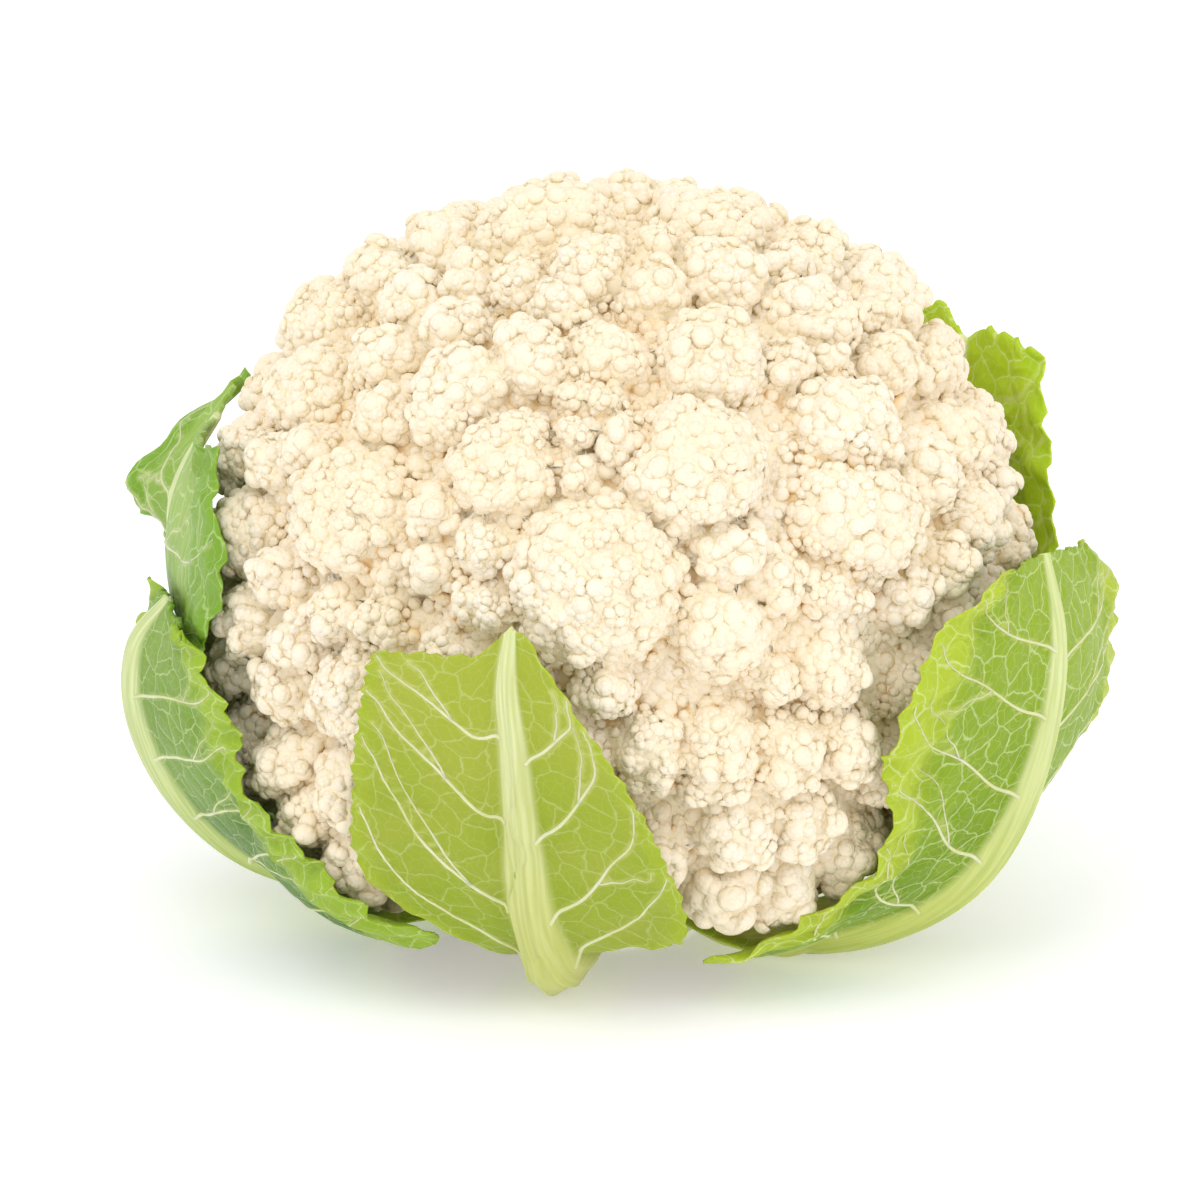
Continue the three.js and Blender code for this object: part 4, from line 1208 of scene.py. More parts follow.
def sampled(grid, level, column):
    """Values of a grid at fractions of its length and at columns from -1 to 1."""
    i = np.clip(level, 0, 1) * (grid.shape[0] - 1)
    j = (np.clip(column, -1, 1) + 1) / 2 * (grid.shape[1] - 1)
    i0 = np.minimum(i.astype(int), grid.shape[0] - 2)
    j0 = np.minimum(j.astype(int), grid.shape[1] - 2)
    u, v = (i - i0)[:, None], (j - j0)[:, None]
    near = grid[i0, j0] * (1 - v) + grid[i0, j0 + 1] * v
    far = grid[i0 + 1, j0] * (1 - v) + grid[i0 + 1, j0 + 1] * v
    return near * (1 - u) + far * u


def swaying(run, height, fewest, most, rng):
    """How far a vein sways to one side and the other along its run."""
    return height * np.sin(2 * math.pi * (rng.uniform(fewest, most) * run + rng.random()))


def vein_courses(leaf, rng):
    """Side veins and their forks, as (levels, columns, widths) from the midrib outwards."""
    steps = np.linspace(0, 1, VEIN_POINTS)
    run = np.linspace(0, 1, FORK_POINTS)
    root = RIB_COLUMNS * VEIN_ROOT
    column = root + (VEIN_END - root) * steps
    courses = []
    for side, starts in ((-1, leaf["left_veins"]), (1, leaf["right_veins"])):
        gap = (starts[-1] - starts[0]) / (len(starts) - 1)
        for start in starts:
            climb = leaf["climb"] * rng.uniform(*VEIN_CLIMBS) * (1 - CLIMB_LOSS * start)
            bend = rng.uniform(*VEIN_BENDS)
            level = start + climb * steps**bend + swaying(steps, *VEIN_SWAY, rng) * steps
            width = VEIN_WIDTH * leaf["rib"] * (1 - VEIN_THINNING * start)
            width = width * (1 - VEIN_TAPER * steps)
            courses.append((level, side * column, width))
            # Every vein but the lowest has one fork, above or below it.
            for side_of_vein in rng.permutation((-1, 1))[: int(start > starts[0])]:
                base = int(rng.uniform(*FORK_FROM) * (VEIN_POINTS - 1))
                forked = column[base] + (rng.uniform(*FORK_TO) - column[base]) * run
                spread = side_of_vein * rng.uniform(*FORK_SPREAD) * gap * run**FORK_BEND
                sway = swaying(run, *FORK_SWAY, rng)
                branch = np.interp(forked, column, level) + spread + sway * run
                width_there = FORK_WIDTH * width[base] * (1 - VEIN_TAPER * run)
                courses.append((branch, side * forked, width_there))
    return [course for course in courses if (course[0] < VEIN_HIGHEST).all()]


def sheet_measures(sheet):
    """Distances across a sheet from its middle, and along it from its root."""
    across = np.linalg.norm(np.diff(sheet, axis=1), axis=-1)
    width = np.concatenate([np.zeros((len(sheet), 1)), np.cumsum(across, axis=1)], 1)
    width = width - width[:, LEAF_COLUMNS // 2][:, None]
    middle = sheet[:, LEAF_COLUMNS // 2]
    length = np.concatenate([[0], np.cumsum(np.linalg.norm(np.diff(middle, axis=0), axis=1))])
    return width, length[:, None] * np.ones_like(width)


def blade_ruffle(leaf, settings, level, place, width, length):
    """How far the waves of a blade, and the finer folds of its margin, stand out."""
    out = np.abs(place)
    root = smoothstep(*RUFFLE_FROM, level)
    wave = np.sin(2 * math.pi * (leaf["waves"] * level + RUFFLE_SLANT * place))
    ruffle = leaf["ruffle"] * out**2 * root * (RUFFLE_SHIFT + RUFFLE_SWING * wave)
    pitch = settings.frill_pitch / MM
    fold = np.sin(2 * math.pi * length / pitch + FRILL_LAG * np.sign(place))
    tip_fold = np.sin(2 * math.pi * width / pitch)
    frill = (FRILL_SHIFT + FRILL_SWING * fold) * smoothstep(*FRILL_OUT, out) * root
    top_frill = (FRILL_SHIFT + FRILL_SWING * tip_fold) * smoothstep(*TOP_FRILL_UP, level)
    frill = frill + top_frill * smoothstep(*TOP_FRILL_OUT, out)
    return ruffle + settings.frill_height / MM * leaf["teeth"] * frill


def blade_pucker(leaf, settings, level, out, width, length):
    """How far a blade puckers, most of all in the band along its margin."""
    flat = np.stack([width, length, np.full_like(width, leaf["ruffle"])], -1).reshape(-1, 3)
    pucker = sum(share * waviness(flat, size, seed) for share, size, seed in PUCKERS)
    pucker = pucker.reshape(width.shape) * settings.pucker_height / MM * leaf["pucker"]
    pucker = pucker * smoothstep(*PUCKER_OUT, out) * smoothstep(*RUFFLE_FROM, level)
    band = smoothstep(leaf["band"] - BAND_EDGE, leaf["band"], out)
    return pucker * (1 + leaf["crinkle"] * band)


def blade_teeth(leaf, settings, level, out, width, length, pucker):
    """How far the teeth reach beyond the side margins, and beyond the upper one."""
    pitch = settings.tooth_pitch / MM
    teeth = np.abs(np.mod(length / pitch + TOOTH_DRIFT * pucker, 1) - 0.5) * 2
    teeth = (teeth - 0.5) * settings.tooth_depth / MM * leaf["teeth"]
    teeth = teeth * smoothstep(*TEETH_OUT, out) * smoothstep(*TEETH_UP, level)
    top_teeth = (np.mod(width / pitch, 1) - 0.5) * 2 * settings.tooth_depth / MM
    top_teeth = top_teeth * TOP_TEETH * leaf["teeth"] * smoothstep(*TOP_TEETH_UP, level)
    return teeth, top_teeth * smoothstep(*TOP_TEETH_OUT, out)


def shell_faces(rows, columns):
    """Faces of a closed shell of two grids, the outer one first."""
    shift = rows * columns
    index = np.arange(shift).reshape(rows, columns)
    a, b, c, d = index[:-1, :-1], index[:-1, 1:], index[1:, :-1], index[1:, 1:]
    front = np.stack([a, b, d, c], -1).reshape(-1, 4)
    rim = np.concatenate([index[0, :-1], index[:-1, -1], index[-1, :0:-1], index[:0:-1, 0]])
    after = np.roll(rim, -1)
    edge = np.stack([rim, rim + shift, after + shift, after], -1)
    return np.concatenate([front, front[:, ::-1] + shift, edge])


def vein_halo(sheet, lines, settings):
    """How near each point of a sheet is to a side vein, from 0 to 1 on the vein."""
    tree = lookup(np.concatenate(lines))
    away = np.array([tree.find(point)[2] for point in sheet.reshape(-1, 3)])
    return np.exp(-((away.reshape(sheet.shape[:2]) / (settings.vein_halo / MM)) ** 2))


def leaf_mesh(leaf, tops, settings, rng):
    """The leaf as a closed shell, and the side veins that stand on it as lines."""
    sheet, level, column, place = leaf_sheet(leaf, tops)
    normal = sheet_normals(sheet)
    out = np.abs(place)
    width, length = sheet_measures(sheet)
    ruffle = blade_ruffle(leaf, settings, level, place, width, length)
    pucker = blade_pucker(leaf, settings, level, out, width, length)
    teeth, top_teeth = blade_teeth(leaf, settings, level, out, width, length, pucker)
    sideways = unit(np.gradient(sheet, axis=1)) * np.sign(column)[..., None]
    upward = unit(np.gradient(sheet, axis=0))
    middle = sheet + normal * (ruffle + pucker)[..., None]
    middle = middle + sideways * teeth[..., None] + upward * top_teeth[..., None]

    at_rib = np.clip(np.abs(column) / RIB_COLUMNS, 0, 1)
    flank = (1 - at_rib**2) ** RIB_ROUNDING
    ridges = RIDGE_HEIGHT * np.cos(at_rib * RIB_GROOVES * math.pi) * flank
    ridges = ridges * smoothstep(*RIDGES_UP, level)
    depth = profile(RIB_DEPTH, level) * leaf["rib"] * (flank + ridges)
    edge = 1 - EDGE_THINNING * smoothstep(*EDGE_OUT, out)
    half = settings.blade_thickness / MM / 2 * edge
    courses = vein_courses(leaf, rng)
    lines = [sampled(middle, levels, columns) for levels, columns, _ in courses]
    halo = vein_halo(middle, lines, settings)
    swell = VEIN_SWELL * halo * smoothstep(*RUFFLE_FROM, level)

    outer = middle + normal * (half + depth + swell)[..., None]
    inner = middle - normal * (half + RIB_INSIDE * depth - swell * VEIN_SWELL_INSIDE)[..., None]
    for side, floor in ((outer, LEAF_FLOOR), (inner, LEAF_FLOOR_INSIDE)):
        side[..., 2] = np.maximum(side[..., 2], floor)
        flat = np.hypot(side[0, :, 0], side[0, :, 1])
        side[0, :, :2] *= (ROOT_RADIUS / flat)[:, None]

    points = np.concatenate([outer.reshape(-1, 3), inner.reshape(-1, 3)])
    mesh = new_mesh(leaf["name"], points, shell_faces(*width.shape))
    for name, values in (
        ("rib", (1 - at_rib**2) ** RIB_FADE), ("vein", halo), ("margin", out), ("along", level),
    ):
        store(mesh, name, np.tile(values.ravel(), 2))
    flat_map = np.tile(np.stack([width, length], -1).reshape(-1, 2) * MAP_SCALE, (2, 1))
    corners = np.empty(len(mesh.loops), np.int32)
    mesh.loops.foreach_get("vertex_index", corners)
    layer = mesh.uv_layers.new(name="blade")
    layer.data.foreach_set("uv", flat_map[corners].astype(np.float32).ravel())

    veins = []
    for levels, columns, widths in courses:
        sunk = unit(sampled(normal, levels, columns)) * (widths * VEIN_SUNK)[:, None]
        veins.append((sampled(outer, levels, columns) - sunk, widths))
    return outward(mesh), veins


def vein_lines(name, veins):
    """Line mesh of all side veins of a leaf, with each point's half width."""
    points = np.concatenate([v[0] for v in veins])
    widths = np.concatenate([v[1] for v in veins])
    edges, first = [], 0
    for line, _ in veins:
        edges += [(first + i, first + i + 1) for i in range(len(line) - 1)]
        first += len(line)
    mesh = bpy.data.meshes.new(name)
    mesh.from_pydata((points * MM).tolist(), edges, [])
    store(mesh, "half_width", widths * MM)
    return mesh


def vein_tree():
    """Draws round veins along lines, as wide as each line's points say."""
    tree, given, result = geometry_tree(
        "Leaf veins",
        [
            ("Sides", "NodeSocketInt", 6),
            ("Width", "NodeSocketFloat", 1.0),
            ("Material", "NodeSocketMaterial", None),
        ],
    )
    half_width = node(
        tree, "GeometryNodeInputNamedAttribute", {"Name": "half_width"}, data_type="FLOAT"
    ).outputs[0]
    radius = math_node(tree, "MULTIPLY", half_width, given["Width"])
    line = node(tree, "GeometryNodeMeshToCurve", {0: given["Geometry"]}).outputs[0]
    ring = node(
        tree, "GeometryNodeCurvePrimitiveCircle", {"Resolution": given["Sides"], "Radius": 1.0}
    ).outputs[0]
    tube = node(
        tree,
        "GeometryNodeCurveToMesh",
        {"Curve": line, "Profile Curve": ring, "Scale": radius, "Fill Caps": True},
    ).outputs[0]
    smooth = node(tree, "GeometryNodeSetShadeSmooth", {0: tube, "Shade Smooth": True}).outputs[0]
    real = node(tree, "GeometryNodeRealizeInstances", {0: smooth}).outputs[0]
    dressed = {0: real, "Material": given["Material"]}
    done = node(tree, "GeometryNodeSetMaterial", dressed).outputs[0]
    tree.links.new(done, result)
    return tree


PALE_VEIN = (230, 236, 188)
LIGHT_SPAN = (0.35, 0.95)        # shares of the length over which the light colour sets in,
LIGHT_SHARE = 0.7                # and the share of it at the tip
MARGIN_EDGE = (0.08, 0.1)        # how far inside and outside its band's edge the margin's
MARGIN_SHARE = 0.75              # colour sets in, and the share of it there
NET_LINE, NET_THREAD = 0.42, 0.16   # how much the wide and the fine net of veins show
VEIN_SPAN = (0.3, 1.0)           # nearness to a side vein at which the midrib's colour sets in,
VEIN_SHARE = 0.6                 # and the share of it there
RIB_SPAN = (0.02, 0.5)           # the same on the midrib itself
STREAKS = (14.0, 0.5, 1.0)       # streaks a centimetre across and along the midrib
STREAK_SHARE = 0.32              # how much they show
CREST_SPAN = (0.3, 0.8)          # shares of the length over which the midrib turns paler,
CREST_SHARE = 0.7                # and how much
NET_RELIEF = 0.0005              # how far the net's pillows stand out, in metres
SKIN_SHARE = 0.15                # and how much the skin's grain adds to them
VEIN_RELIEF = 0.0001
VEIN_TONE_SPAN = (0.3, 0.7)
VEIN_DIMMING = 0.4               # share of the pale colour in a side vein's darker patches


def leaf_material(leaf, flesh, net):
    """Drifting greens under a net of pale veins, with a streaked midrib and a margin."""
    material, tree, shader = new_material(
        leaf["name"] + "_blade", roughness=0.5, scatter=0.6, radius=(0.9, 1.3, 0.25), specular=0.25
    )
    rib, vein, margin, along = (attribute(tree, n) for n in ("rib", "vein", "margin", "along"))
    grain = group_node(tree, flesh, {"Grain size": 0.0009, "Drift size": 0.018})
    wide = group_node(tree, net, {"Cell size": 0.62, "Line width": 0.05})
    fine = group_node(tree, net, {"Cell size": 0.24, "Line width": 0.07})
    colours = {key: srgb(*leaf[key]) for key in ("blade", "light", "deep", "rib_colour", "margin")}

    tone = ranged(tree, grain["Tone"], *TONE_SPAN)
    colour = mix(tree, tone, colours["deep"], colours["blade"])
    high = ranged(tree, along, *LIGHT_SPAN, 0.0, LIGHT_SHARE)
    colour = mix(tree, high, colour, colours["light"])
    band = leaf["band"] - MARGIN_EDGE[0], leaf["band"] + MARGIN_EDGE[1]
    edge = ranged(tree, margin, *band, 0.0, MARGIN_SHARE)
    colour = mix(tree, edge, colour, colours["margin"])
    off_rib = math_node(tree, "SUBTRACT", 1.0, rib)
    line = math_node(tree, "MULTIPLY", wide["Line"], NET_LINE * leaf["net"])
    thread = math_node(tree, "MULTIPLY", fine["Line"], NET_THREAD * leaf["net"])
    lines = math_node(tree, "MULTIPLY", math_node(tree, "ADD", line, thread), off_rib)
    colour = mix(tree, lines, colour, srgb(*PALE_VEIN))
    beside = ranged(tree, vein, *VEIN_SPAN, 0.0, VEIN_SHARE)
    colour = mix(tree, beside, colour, colours["rib_colour"])
    place = node(tree, "ShaderNodeUVMap", uv_map="blade").outputs["UV"]
    drawn = vector_node(tree, "MULTIPLY", place, STREAKS)
    streak = node(tree, "ShaderNodeTexNoise", {"Vector": drawn, "Scale": 1.0, "Detail": 1.0})
    streaks = ranged(tree, streak.outputs["Fac"], *TONE_SPAN, 0.0, STREAK_SHARE)
    paler = ranged(tree, along, *CREST_SPAN, 0.0, CREST_SHARE)
    crest = mix(tree, paler, colours["rib_colour"], srgb(*PALE_VEIN))
    rib_tone = mix(tree, streaks, crest, colours["light"])
    colour = mix(tree, ranged(tree, rib, *RIB_SPAN), colour, rib_tone)
    tree.links.new(colour, shader.inputs["Base Color"])

    pillow = math_node(tree, "MULTIPLY", wide["Pillow"], off_rib)
    relief = math_node(tree, "MULTIPLY_ADD", grain["Height"], SKIN_SHARE, pillow)
    add_bump(tree, shader, relief, NET_RELIEF * leaf["net"], strength=0.7)
    return material


def vein_material(leaf, flesh):
    """Pale flesh that leans to the midrib's colour in patches."""
    material, tree, shader = new_material(
        leaf["name"] + "_vein", roughness=0.45, scatter=0.5, radius=(1.2, 1.4, 0.6), specular=0.4
    )
    grain = group_node(tree, flesh, {"Grain size": 0.0008, "Drift size": 0.01})
    pale = VEIN_DIMMING
    dim = srgb(*((1 - pale) * a + pale * b for a, b in zip(leaf["rib_colour"], PALE_VEIN)))
    colour = mix(tree, ranged(tree, grain["Tone"], *VEIN_TONE_SPAN), dim, srgb(*PALE_VEIN))
    tree.links.new(colour, shader.inputs["Base Color"])
    add_bump(tree, shader, grain["Height"], VEIN_RELIEF, strength=0.5)
    return material


def make_leaves(settings, curd, flesh):
    """Adds each leaf's blade and side veins."""
    tops = curd.tops()
    net = net_group()
    tree = vein_tree()
    for number, leaf in enumerate(LEAVES):
        rng = np.random.default_rng(LEAF_SEED + number)
        mesh, veins = leaf_mesh(leaf, tops, settings, rng)
        mesh.materials.append(leaf_material(leaf, flesh, net))
        add_piece(leaf["name"] + "_blade", mesh, leaf["name"])
        lines = vein_lines(leaf["name"] + "_lines", veins)
        values = {
            "Sides": 6,
            "Width": settings.vein_width,
            "Material": vein_material(leaf, flesh),
        }
        made = grown(leaf["name"] + "_veins", lines, tree, values)
        add_piece(leaf["name"] + "_veins", outward(made), leaf["name"])
        bpy.data.meshes.remove(lines)


# ---------------------------------------------------------------------------------- stem

# The stub's outline from the middle of its cut face to the middle of its top, as
# (radius, height).
STEM_OUTLINE = [
    (0, 0), (8, 0), (15, 0), (19.2, 0), (20.5, 0.35), (21.6, 1.2), (22, 2.4), (22, 6), (22, 10),
    (22, 13), (24.8, 18), (27.6, 21), (29.4, 22.6), (30, 23.2), (29, 24), (20, 24), (10, 24),
    (0, 24),
]
STEM_SIDES = 96
FLUTES = [(0.25, 7, 0), (0.12, 17, 1)]   # depth, number and turn of each set of flutes
FLUTED = (0.3, 23.9)             # heights between which the stub is fluted
VESSELS_FROM = (0.0125, 0.0145)  # radii over which the ring of vessels sets in, in metres,
VESSELS_TO = (0.016, 0.0185)     # and over which it ends
VESSEL_WOBBLE = 0.002            # how far the ring wanders
VESSEL_SHARE = 0.6               # how much of the vessels' colour shows
CUT_FACE = (0.0002, 0.001)       # heights over which the cut face gives way to the skin
STEM_RELIEF = 0.0003


def stem_mesh():
    """A turned stub whose side is gently fluted where the leaf stalks leave it."""
    points, faces = [], []
    rings = STEM_OUTLINE[1:-1]
    turns = 2 * math.pi * np.arange(STEM_SIDES) / STEM_SIDES
    for radius, z in rings:
        flute = sum(deep * np.sin(count * turns + turn) for deep, count, turn in FLUTES)
        r = radius - np.abs(flute) * (FLUTED[0] < z < FLUTED[1])
        ring = np.stack([r * np.cos(turns), r * np.sin(turns), np.full_like(turns, z)], 1)
        points += ring.tolist()
    for ring in range(len(rings) - 1):
        for i in range(STEM_SIDES):
            a = ring * STEM_SIDES + i
            b = ring * STEM_SIDES + (i + 1) % STEM_SIDES
            faces.append((a, b, b + STEM_SIDES, a + STEM_SIDES))
    low, high = len(points), len(points) + 1
    points += [(0, 0, STEM_OUTLINE[0][1]), (0, 0, STEM_OUTLINE[-1][1])]
    last = (len(rings) - 1) * STEM_SIDES
    caps = []
    for i in range(STEM_SIDES):
        j = (i + 1) % STEM_SIDES
        caps += [(low, j, i), (high, last + i, last + j)]
    mesh = bpy.data.meshes.new("stem")
    mesh.from_pydata((np.array(points) * MM).tolist(), [], faces + caps)
    mesh.polygons.foreach_set("use_smooth", np.full(len(mesh.polygons), True))
    return outward(mesh)


def stem_material(settings, flesh):
    """Pale flesh with a ring of darker vessels round the pith on the cut face."""
    material, tree, shader = new_material(
        "stem_flesh", roughness=0.55, scatter=0.5, radius=(2.0, 1.8, 0.8), specular=0.35
    )
    place = node(tree, "ShaderNodeTexCoord").outputs["Object"]
    split = node(tree, "ShaderNodeSeparateXYZ", {0: place}).outputs
    flat = node(tree, "ShaderNodeCombineXYZ", {0: split[0], 1: split[1]}).outputs[0]
    radius = node(tree, "ShaderNodeVectorMath", {0: flat}, operation="LENGTH").outputs["Value"]
    grain = group_node(tree, flesh, {"Grain size": 0.0012, "Drift size": 0.012})
    wobble = math_node(tree, "MULTIPLY_ADD", grain["Tone"], VESSEL_WOBBLE, radius)
    inside = ranged(tree, wobble, *VESSELS_FROM)
    outside = ranged(tree, wobble, *VESSELS_TO, 1.0, 0.0)
    ring = math_node(tree, "MULTIPLY", inside, outside)
    on_cut = ranged(tree, split[2], *CUT_FACE, 1.0, 0.0)
    ring = math_node(tree, "MULTIPLY", ring, on_cut)
    tone = ranged(tree, grain["Tone"], *TONE_SPAN)
    skin = mix(tree, tone, settings.skin_colour, settings.pale_colour)
    cut = mix(tree, tone, settings.cut_colour, settings.pale_colour)
    colour = mix(tree, on_cut, skin, cut)
    vessels = math_node(tree, "MULTIPLY", ring, VESSEL_SHARE)
    colour = mix(tree, vessels, colour, settings.vessel_colour)
    tree.links.new(colour, shader.inputs["Base Color"])
    add_bump(tree, shader, grain["Height"], STEM_RELIEF, strength=0.6)
    return material


# --------------------------------------------------------------------------------- stage

# Each light as (name, the setting that holds its power, azimuth and elevation in degrees as
# seen from the camera, distance, width).
LIGHTS = [
    ("key_light", "key_power", -28, 56, 1.6, 1.1),
    ("fill_light", "fill_power", 50, 30, 2.0, 1.4),
]
WHITE = (1, 1, 1, 1)
FIBRES = 400.0                   # fibres of the floor's paper in a metre
FIBRE_SHADE = 0.985              # brightness between them
SENSOR_WIDTH = 36
CLIP = (0.05, 50)


def seen_from(azimuth, elevation):
    """The direction to a place that is so far round from the front and so far up, in radians."""
    flat = math.cos(elevation)
    return Vector((math.sin(azimuth) * flat, -math.cos(azimuth) * flat, math.sin(elevation)))


def aimed(name, data, target, back, distance):
    """Adds a light or the camera, which looks at a target from a distance."""
    made = bpy.data.objects.new(name, data)
    made.location = target + back * distance
    made.rotation_euler = (-back).to_track_quat("-Z", "Y").to_euler()
    bpy.context.scene.collection.objects.link(made)
    return made


def make_floor(settings):
    side = settings.floor_size / MM / 2
    corners = np.array([[-side, -side, 0], [side, -side, 0], [side, side, 0], [-side, side, 0]])
    mesh = new_mesh("floor", corners, [[0, 1, 2, 3]], smooth=False)
    material = bpy.data.materials.new("floor_paper")
    material.use_nodes = True
    tree = material.node_tree
    shader = tree.nodes["Principled BSDF"]
    shader.inputs["Roughness"].default_value = 0.9
    shader.inputs["Specular IOR Level"].default_value = 0.1
    shader.inputs["Emission Color"].default_value = WHITE
    shader.inputs["Emission Strength"].default_value = settings.floor_glow
    place = node(tree, "ShaderNodeTexCoord").outputs["Object"]
    fibre = node(tree, "ShaderNodeTexNoise", {"Vector": place, "Scale": FIBRES}).outputs["Fac"]
    bright = settings.floor_colour
    dim = tuple(FIBRE_SHADE * c for c in bright)
    tree.links.new(mix(tree, fibre, dim, bright), shader.inputs["Base Color"])
    mesh.materials.append(material)
    floor = bpy.data.objects.new("floor", mesh)
    bpy.context.scene.collection.objects.link(floor)


def make_stage(settings):
    """Floor, world, lights and camera."""
    make_floor(settings)
    scene = bpy.context.scene
    world = bpy.data.worlds.new("studio")
    world.use_nodes = True
    background = world.node_tree.nodes["Background"]
    background.inputs["Color"].default_value = WHITE
    background.inputs["Strength"].default_value = settings.surround
    scene.world = world

    target = Vector((0, 0, settings.aim_height))
    for name, power, azimuth, elevation, distance, size in LIGHTS:
        data = bpy.data.lights.new(name, "AREA")
        data.shape = "DISK"
        data.size = size
        data.energy = getattr(settings, power)
        back = seen_from(math.radians(azimuth), math.radians(elevation))
        aimed(name, data, target, back, distance)

    data = bpy.data.cameras.new("camera")
    data.lens = settings.focal_length
    data.sensor_width = SENSOR_WIDTH
    data.clip_start, data.clip_end = CLIP
    back = seen_from(0, settings.camera_elevation)
    scene.camera = aimed("camera", data, target, back, settings.camera_distance)
    scene.view_settings.view_transform = "Standard"
    scene.view_settings.exposure = settings.exposure


# ------------------------------------------------------------------------------- add-on


def length(name, description, default, least=0.0):
    return FloatProperty(
        name=name, description=description, default=default, min=least, unit="LENGTH", precision=4
    )


def colour(name, description, default):
    return FloatVectorProperty(
        name=name, description=description, default=default, size=3, min=0, max=1, subtype="COLOR"
    )


class CurdSettings(bpy.types.PropertyGroup):
    """Sizes and colours of the curd's buds."""

    lobe_drop: length("Lobe drop", "How much a lobe falls over its own width", 0.008)
    clump_width: length("Clump width", "Width of the widest clump of buds", 0.0056)
    clump_drop: length("Clump drop", "How much a clump falls over half its width", 0.0011)
    cleft_depth: length("Cleft depth", "Extra depth between florets", 0.0028)
    grain_size: length("Grain size", "Width of the fine grains on the buds", 0.0015)
    grain_relief: length("Grain relief", "How far the fine grains stand out", 0.0003)
    bed_depth: length("Bed depth", "How far the ground lies under the buds' feet", 0.0002)
    bud_cover: length("Bud cover", "How far the buds stand over the surface", 0.0007)
    bud_smallest: length("Smallest bud", "Width of the smallest bud", 0.0028)
    bud_largest: length("Largest bud", "Width of the largest bud", 0.0052)
    knob_share: FloatProperty(
        name="Knobs", description="Share of clumps that are one smooth knob",
        default=0.16, min=0, max=1, subtype="FACTOR",
    )
    scatter: FloatProperty(
        name="Scatter", description="Share of the light that the flesh lets through",
        default=0.0, min=0, max=1, subtype="FACTOR",
    )
    top_colour: colour("Top", "Colour of the buds' tops", srgb(253, 243, 225))
    warm_colour: colour("Warm top", "Colour of the warmer patches", srgb(252, 238, 211))
    tint_colour: colour("Bud tint", "Colour that single buds lean to", srgb(251, 237, 208))
    # The groove and cleft colours are painted shade: warm shade between the buds, and more between
    # the florets.
    groove_shade_colour: colour("Groove", "Colour between the buds", srgb(255, 242, 212))
    cleft_shade_colour: colour("Cleft", "Colour between the florets", srgb(246, 206, 140))


class LeafSettings(bpy.types.PropertyGroup):
    """Sizes shared by all leaves."""

    blade_thickness: length("Blade thickness", "Thickness of a blade", 0.0009)
    pucker_height: length("Pucker height", "How far the blade puckers near its margins", 0.0011)
    tooth_pitch: length("Tooth pitch", "Distance between the teeth of a margin", 0.0040)
    tooth_depth: length("Tooth depth", "Depth of the teeth of a margin", 0.0016)
    frill_pitch: length("Frill pitch", "Distance between the folds of a margin", 0.0085)
    frill_height: length("Frill height", "How far the folds of a margin stand out", 0.0009)
    vein_halo: length("Vein halo", "Half width of the pale swelling along a side vein", 0.0011)
    vein_width: FloatProperty(
        name="Vein width", description="Width of the side veins, as a share of their own",
        default=0.8, min=0, max=3,
    )


class StemSettings(bpy.types.PropertyGroup):
    """Colours of the stem."""

    skin_colour: colour("Skin", "Colour of the stem's side", srgb(206, 216, 150))
    pale_colour: colour("Pale", "Colour of its paler patches", srgb(228, 230, 186))
    cut_colour: colour("Cut face", "Colour of the cut face", srgb(236, 232, 200))
    vessel_colour: colour("Vessels", "Colour of the ring of vessels", srgb(190, 198, 128))


class StageSettings(bpy.types.PropertyGroup):
    """Floor, light and camera."""

    floor_size: length("Floor size", "Side of the square floor", 12.0)
    floor_colour: colour("Floor", "Colour of the floor", (0.88, 0.87, 0.93))
    floor_glow: FloatProperty(
        name="Floor glow", description="Light that comes through the floor", default=0.28
    )
    surround: FloatProperty(name="Surround", description="Strength of the even light", default=0.92)
    key_power: FloatProperty(
        name="Key power", description="Power of the key light", default=5.2, unit="POWER"
    )
    fill_power: FloatProperty(
        name="Fill power", description="Power of the fill light", default=3.6, unit="POWER"
    )
    exposure: FloatProperty(name="Exposure", description="Exposure in stops", default=0.0)
    aim_height: length("Aim height", "Height that the camera looks at", 0.067)
    camera_distance: length("Camera distance", "Distance from that point", 2.0)
    camera_elevation: FloatProperty(
        name="Camera elevation", description="Angle above the horizon",
        default=ELEVATION_TILT, unit="ROTATION",
    )
    focal_length: FloatProperty(name="Focal length", description="In millimetres", default=300.0)


class Workshop:
    """What the operators share: the curd's form and the grain of the flesh."""

    curd = None
    flesh = None

    @classmethod
    def ready(cls):
        cls.curd = cls.curd or Curd()
        cls.flesh = cls.flesh or flesh_group()
        return cls.curd, cls.flesh


class CAULIFLOWER_OT_stage(bpy.types.Operator):
    """Make the floor, the light and the camera"""

    bl_idname = "cauliflower.make_stage"
    bl_label = "Stage"

    def execute(self, context):
        make_stage(context.scene.cauliflower_stage)
        return {"FINISHED"}


class CAULIFLOWER_OT_curd(bpy.types.Operator):
    """Make the curd out of buds"""

    bl_idname = "cauliflower.make_curd"
    bl_label = "Curd"

    def execute(self, context):
        make_curd(context.scene.cauliflower_curd, *Workshop.ready())
        return {"FINISHED"}


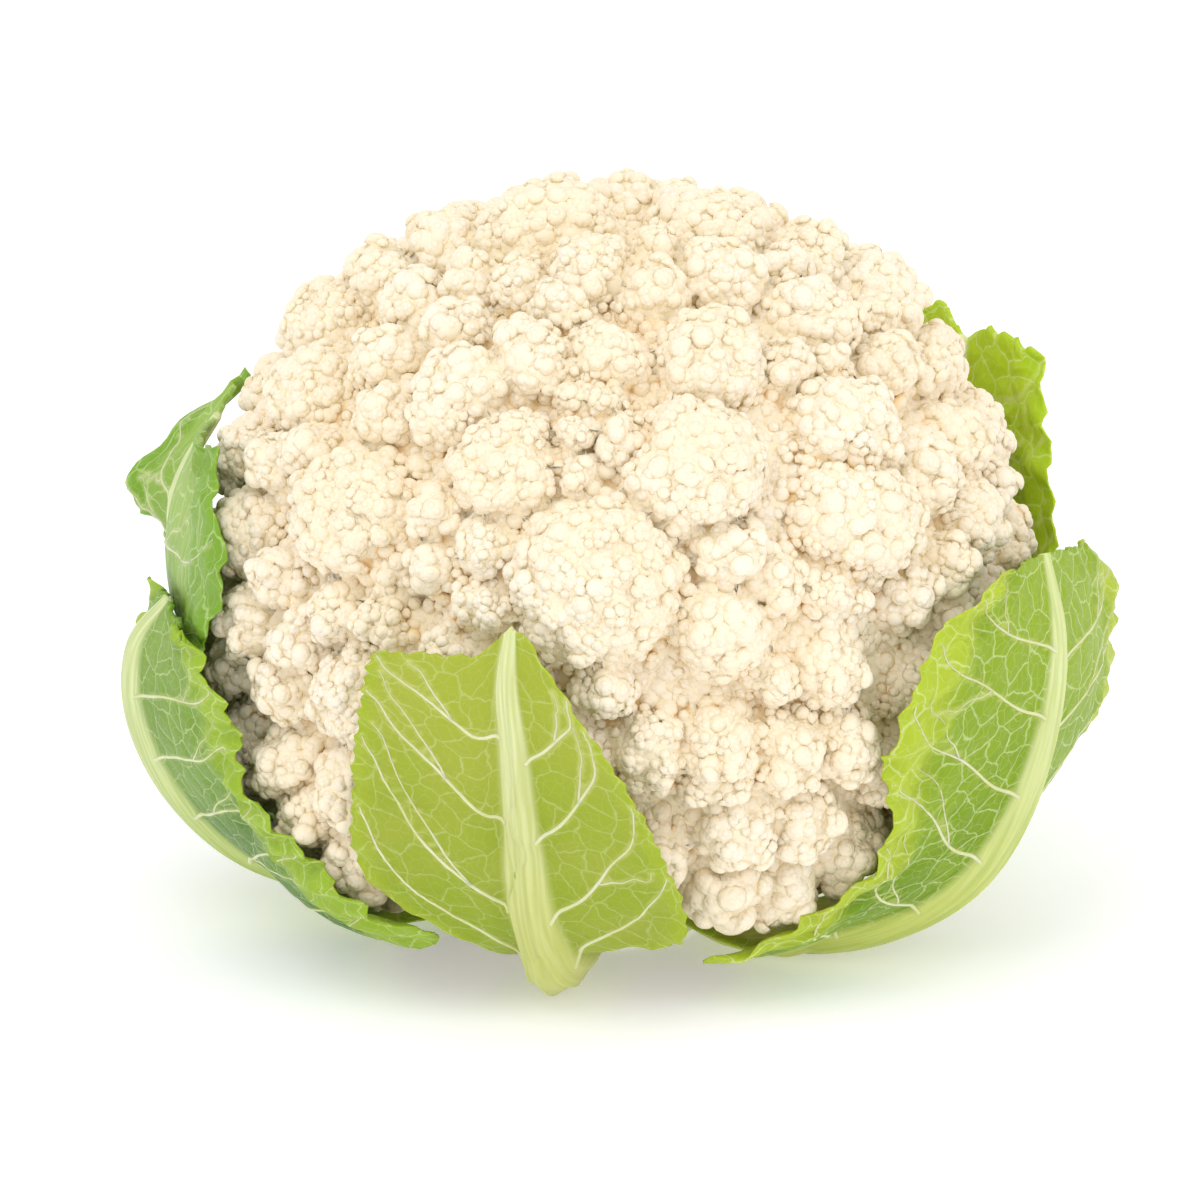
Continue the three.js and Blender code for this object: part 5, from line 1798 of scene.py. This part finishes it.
class CAULIFLOWER_OT_leaves(bpy.types.Operator):
    """Make the seven wrapper leaves and their veins"""

    bl_idname = "cauliflower.make_leaves"
    bl_label = "Leaves"

    def execute(self, context):
        make_leaves(context.scene.cauliflower_leaf, *Workshop.ready())
        return {"FINISHED"}


class CAULIFLOWER_OT_stem(bpy.types.Operator):
    """Make the cut stem"""

    bl_idname = "cauliflower.make_stem"
    bl_label = "Stem"

    def execute(self, context):
        mesh = stem_mesh()
        flesh = Workshop.ready()[1]
        mesh.materials.append(stem_material(context.scene.cauliflower_stem, flesh))
        add_piece("stem_stub", mesh, "stem")
        return {"FINISHED"}


class CAULIFLOWER_PT_panel(bpy.types.Panel):
    """Lists the pieces"""

    bl_idname = "CAULIFLOWER_PT_panel"
    bl_label = "Cauliflower"
    bl_space_type = "VIEW_3D"
    bl_region_type = "UI"
    bl_category = "Cauliflower"

    def draw(self, context):
        for operator, settings in PIECES:
            box = self.layout.box()
            group = getattr(context.scene, settings)
            for name in group.__annotations__:
                box.prop(group, name)
            box.operator(operator.bl_idname)


PIECES = [
    (CAULIFLOWER_OT_stage, "cauliflower_stage"),
    (CAULIFLOWER_OT_curd, "cauliflower_curd"),
    (CAULIFLOWER_OT_leaves, "cauliflower_leaf"),
    (CAULIFLOWER_OT_stem, "cauliflower_stem"),
]
SETTINGS = {
    "cauliflower_stage": StageSettings,
    "cauliflower_curd": CurdSettings,
    "cauliflower_leaf": LeafSettings,
    "cauliflower_stem": StemSettings,
}


def register():
    for name, group in SETTINGS.items():
        bpy.utils.register_class(group)
        setattr(bpy.types.Scene, name, PointerProperty(type=group))
    for operator, _ in PIECES:
        bpy.utils.register_class(operator)
    bpy.utils.register_class(CAULIFLOWER_PT_panel)


def unregister():
    bpy.utils.unregister_class(CAULIFLOWER_PT_panel)
    for operator, _ in reversed(PIECES):
        bpy.utils.unregister_class(operator)
    for name, group in SETTINGS.items():
        delattr(bpy.types.Scene, name)
        bpy.utils.unregister_class(group)


def main():
    register()
    bpy.ops.cauliflower.make_stage()
    bpy.ops.cauliflower.make_curd()
    bpy.ops.cauliflower.make_leaves()
    bpy.ops.cauliflower.make_stem()


if __name__ == "__main__":
    main()
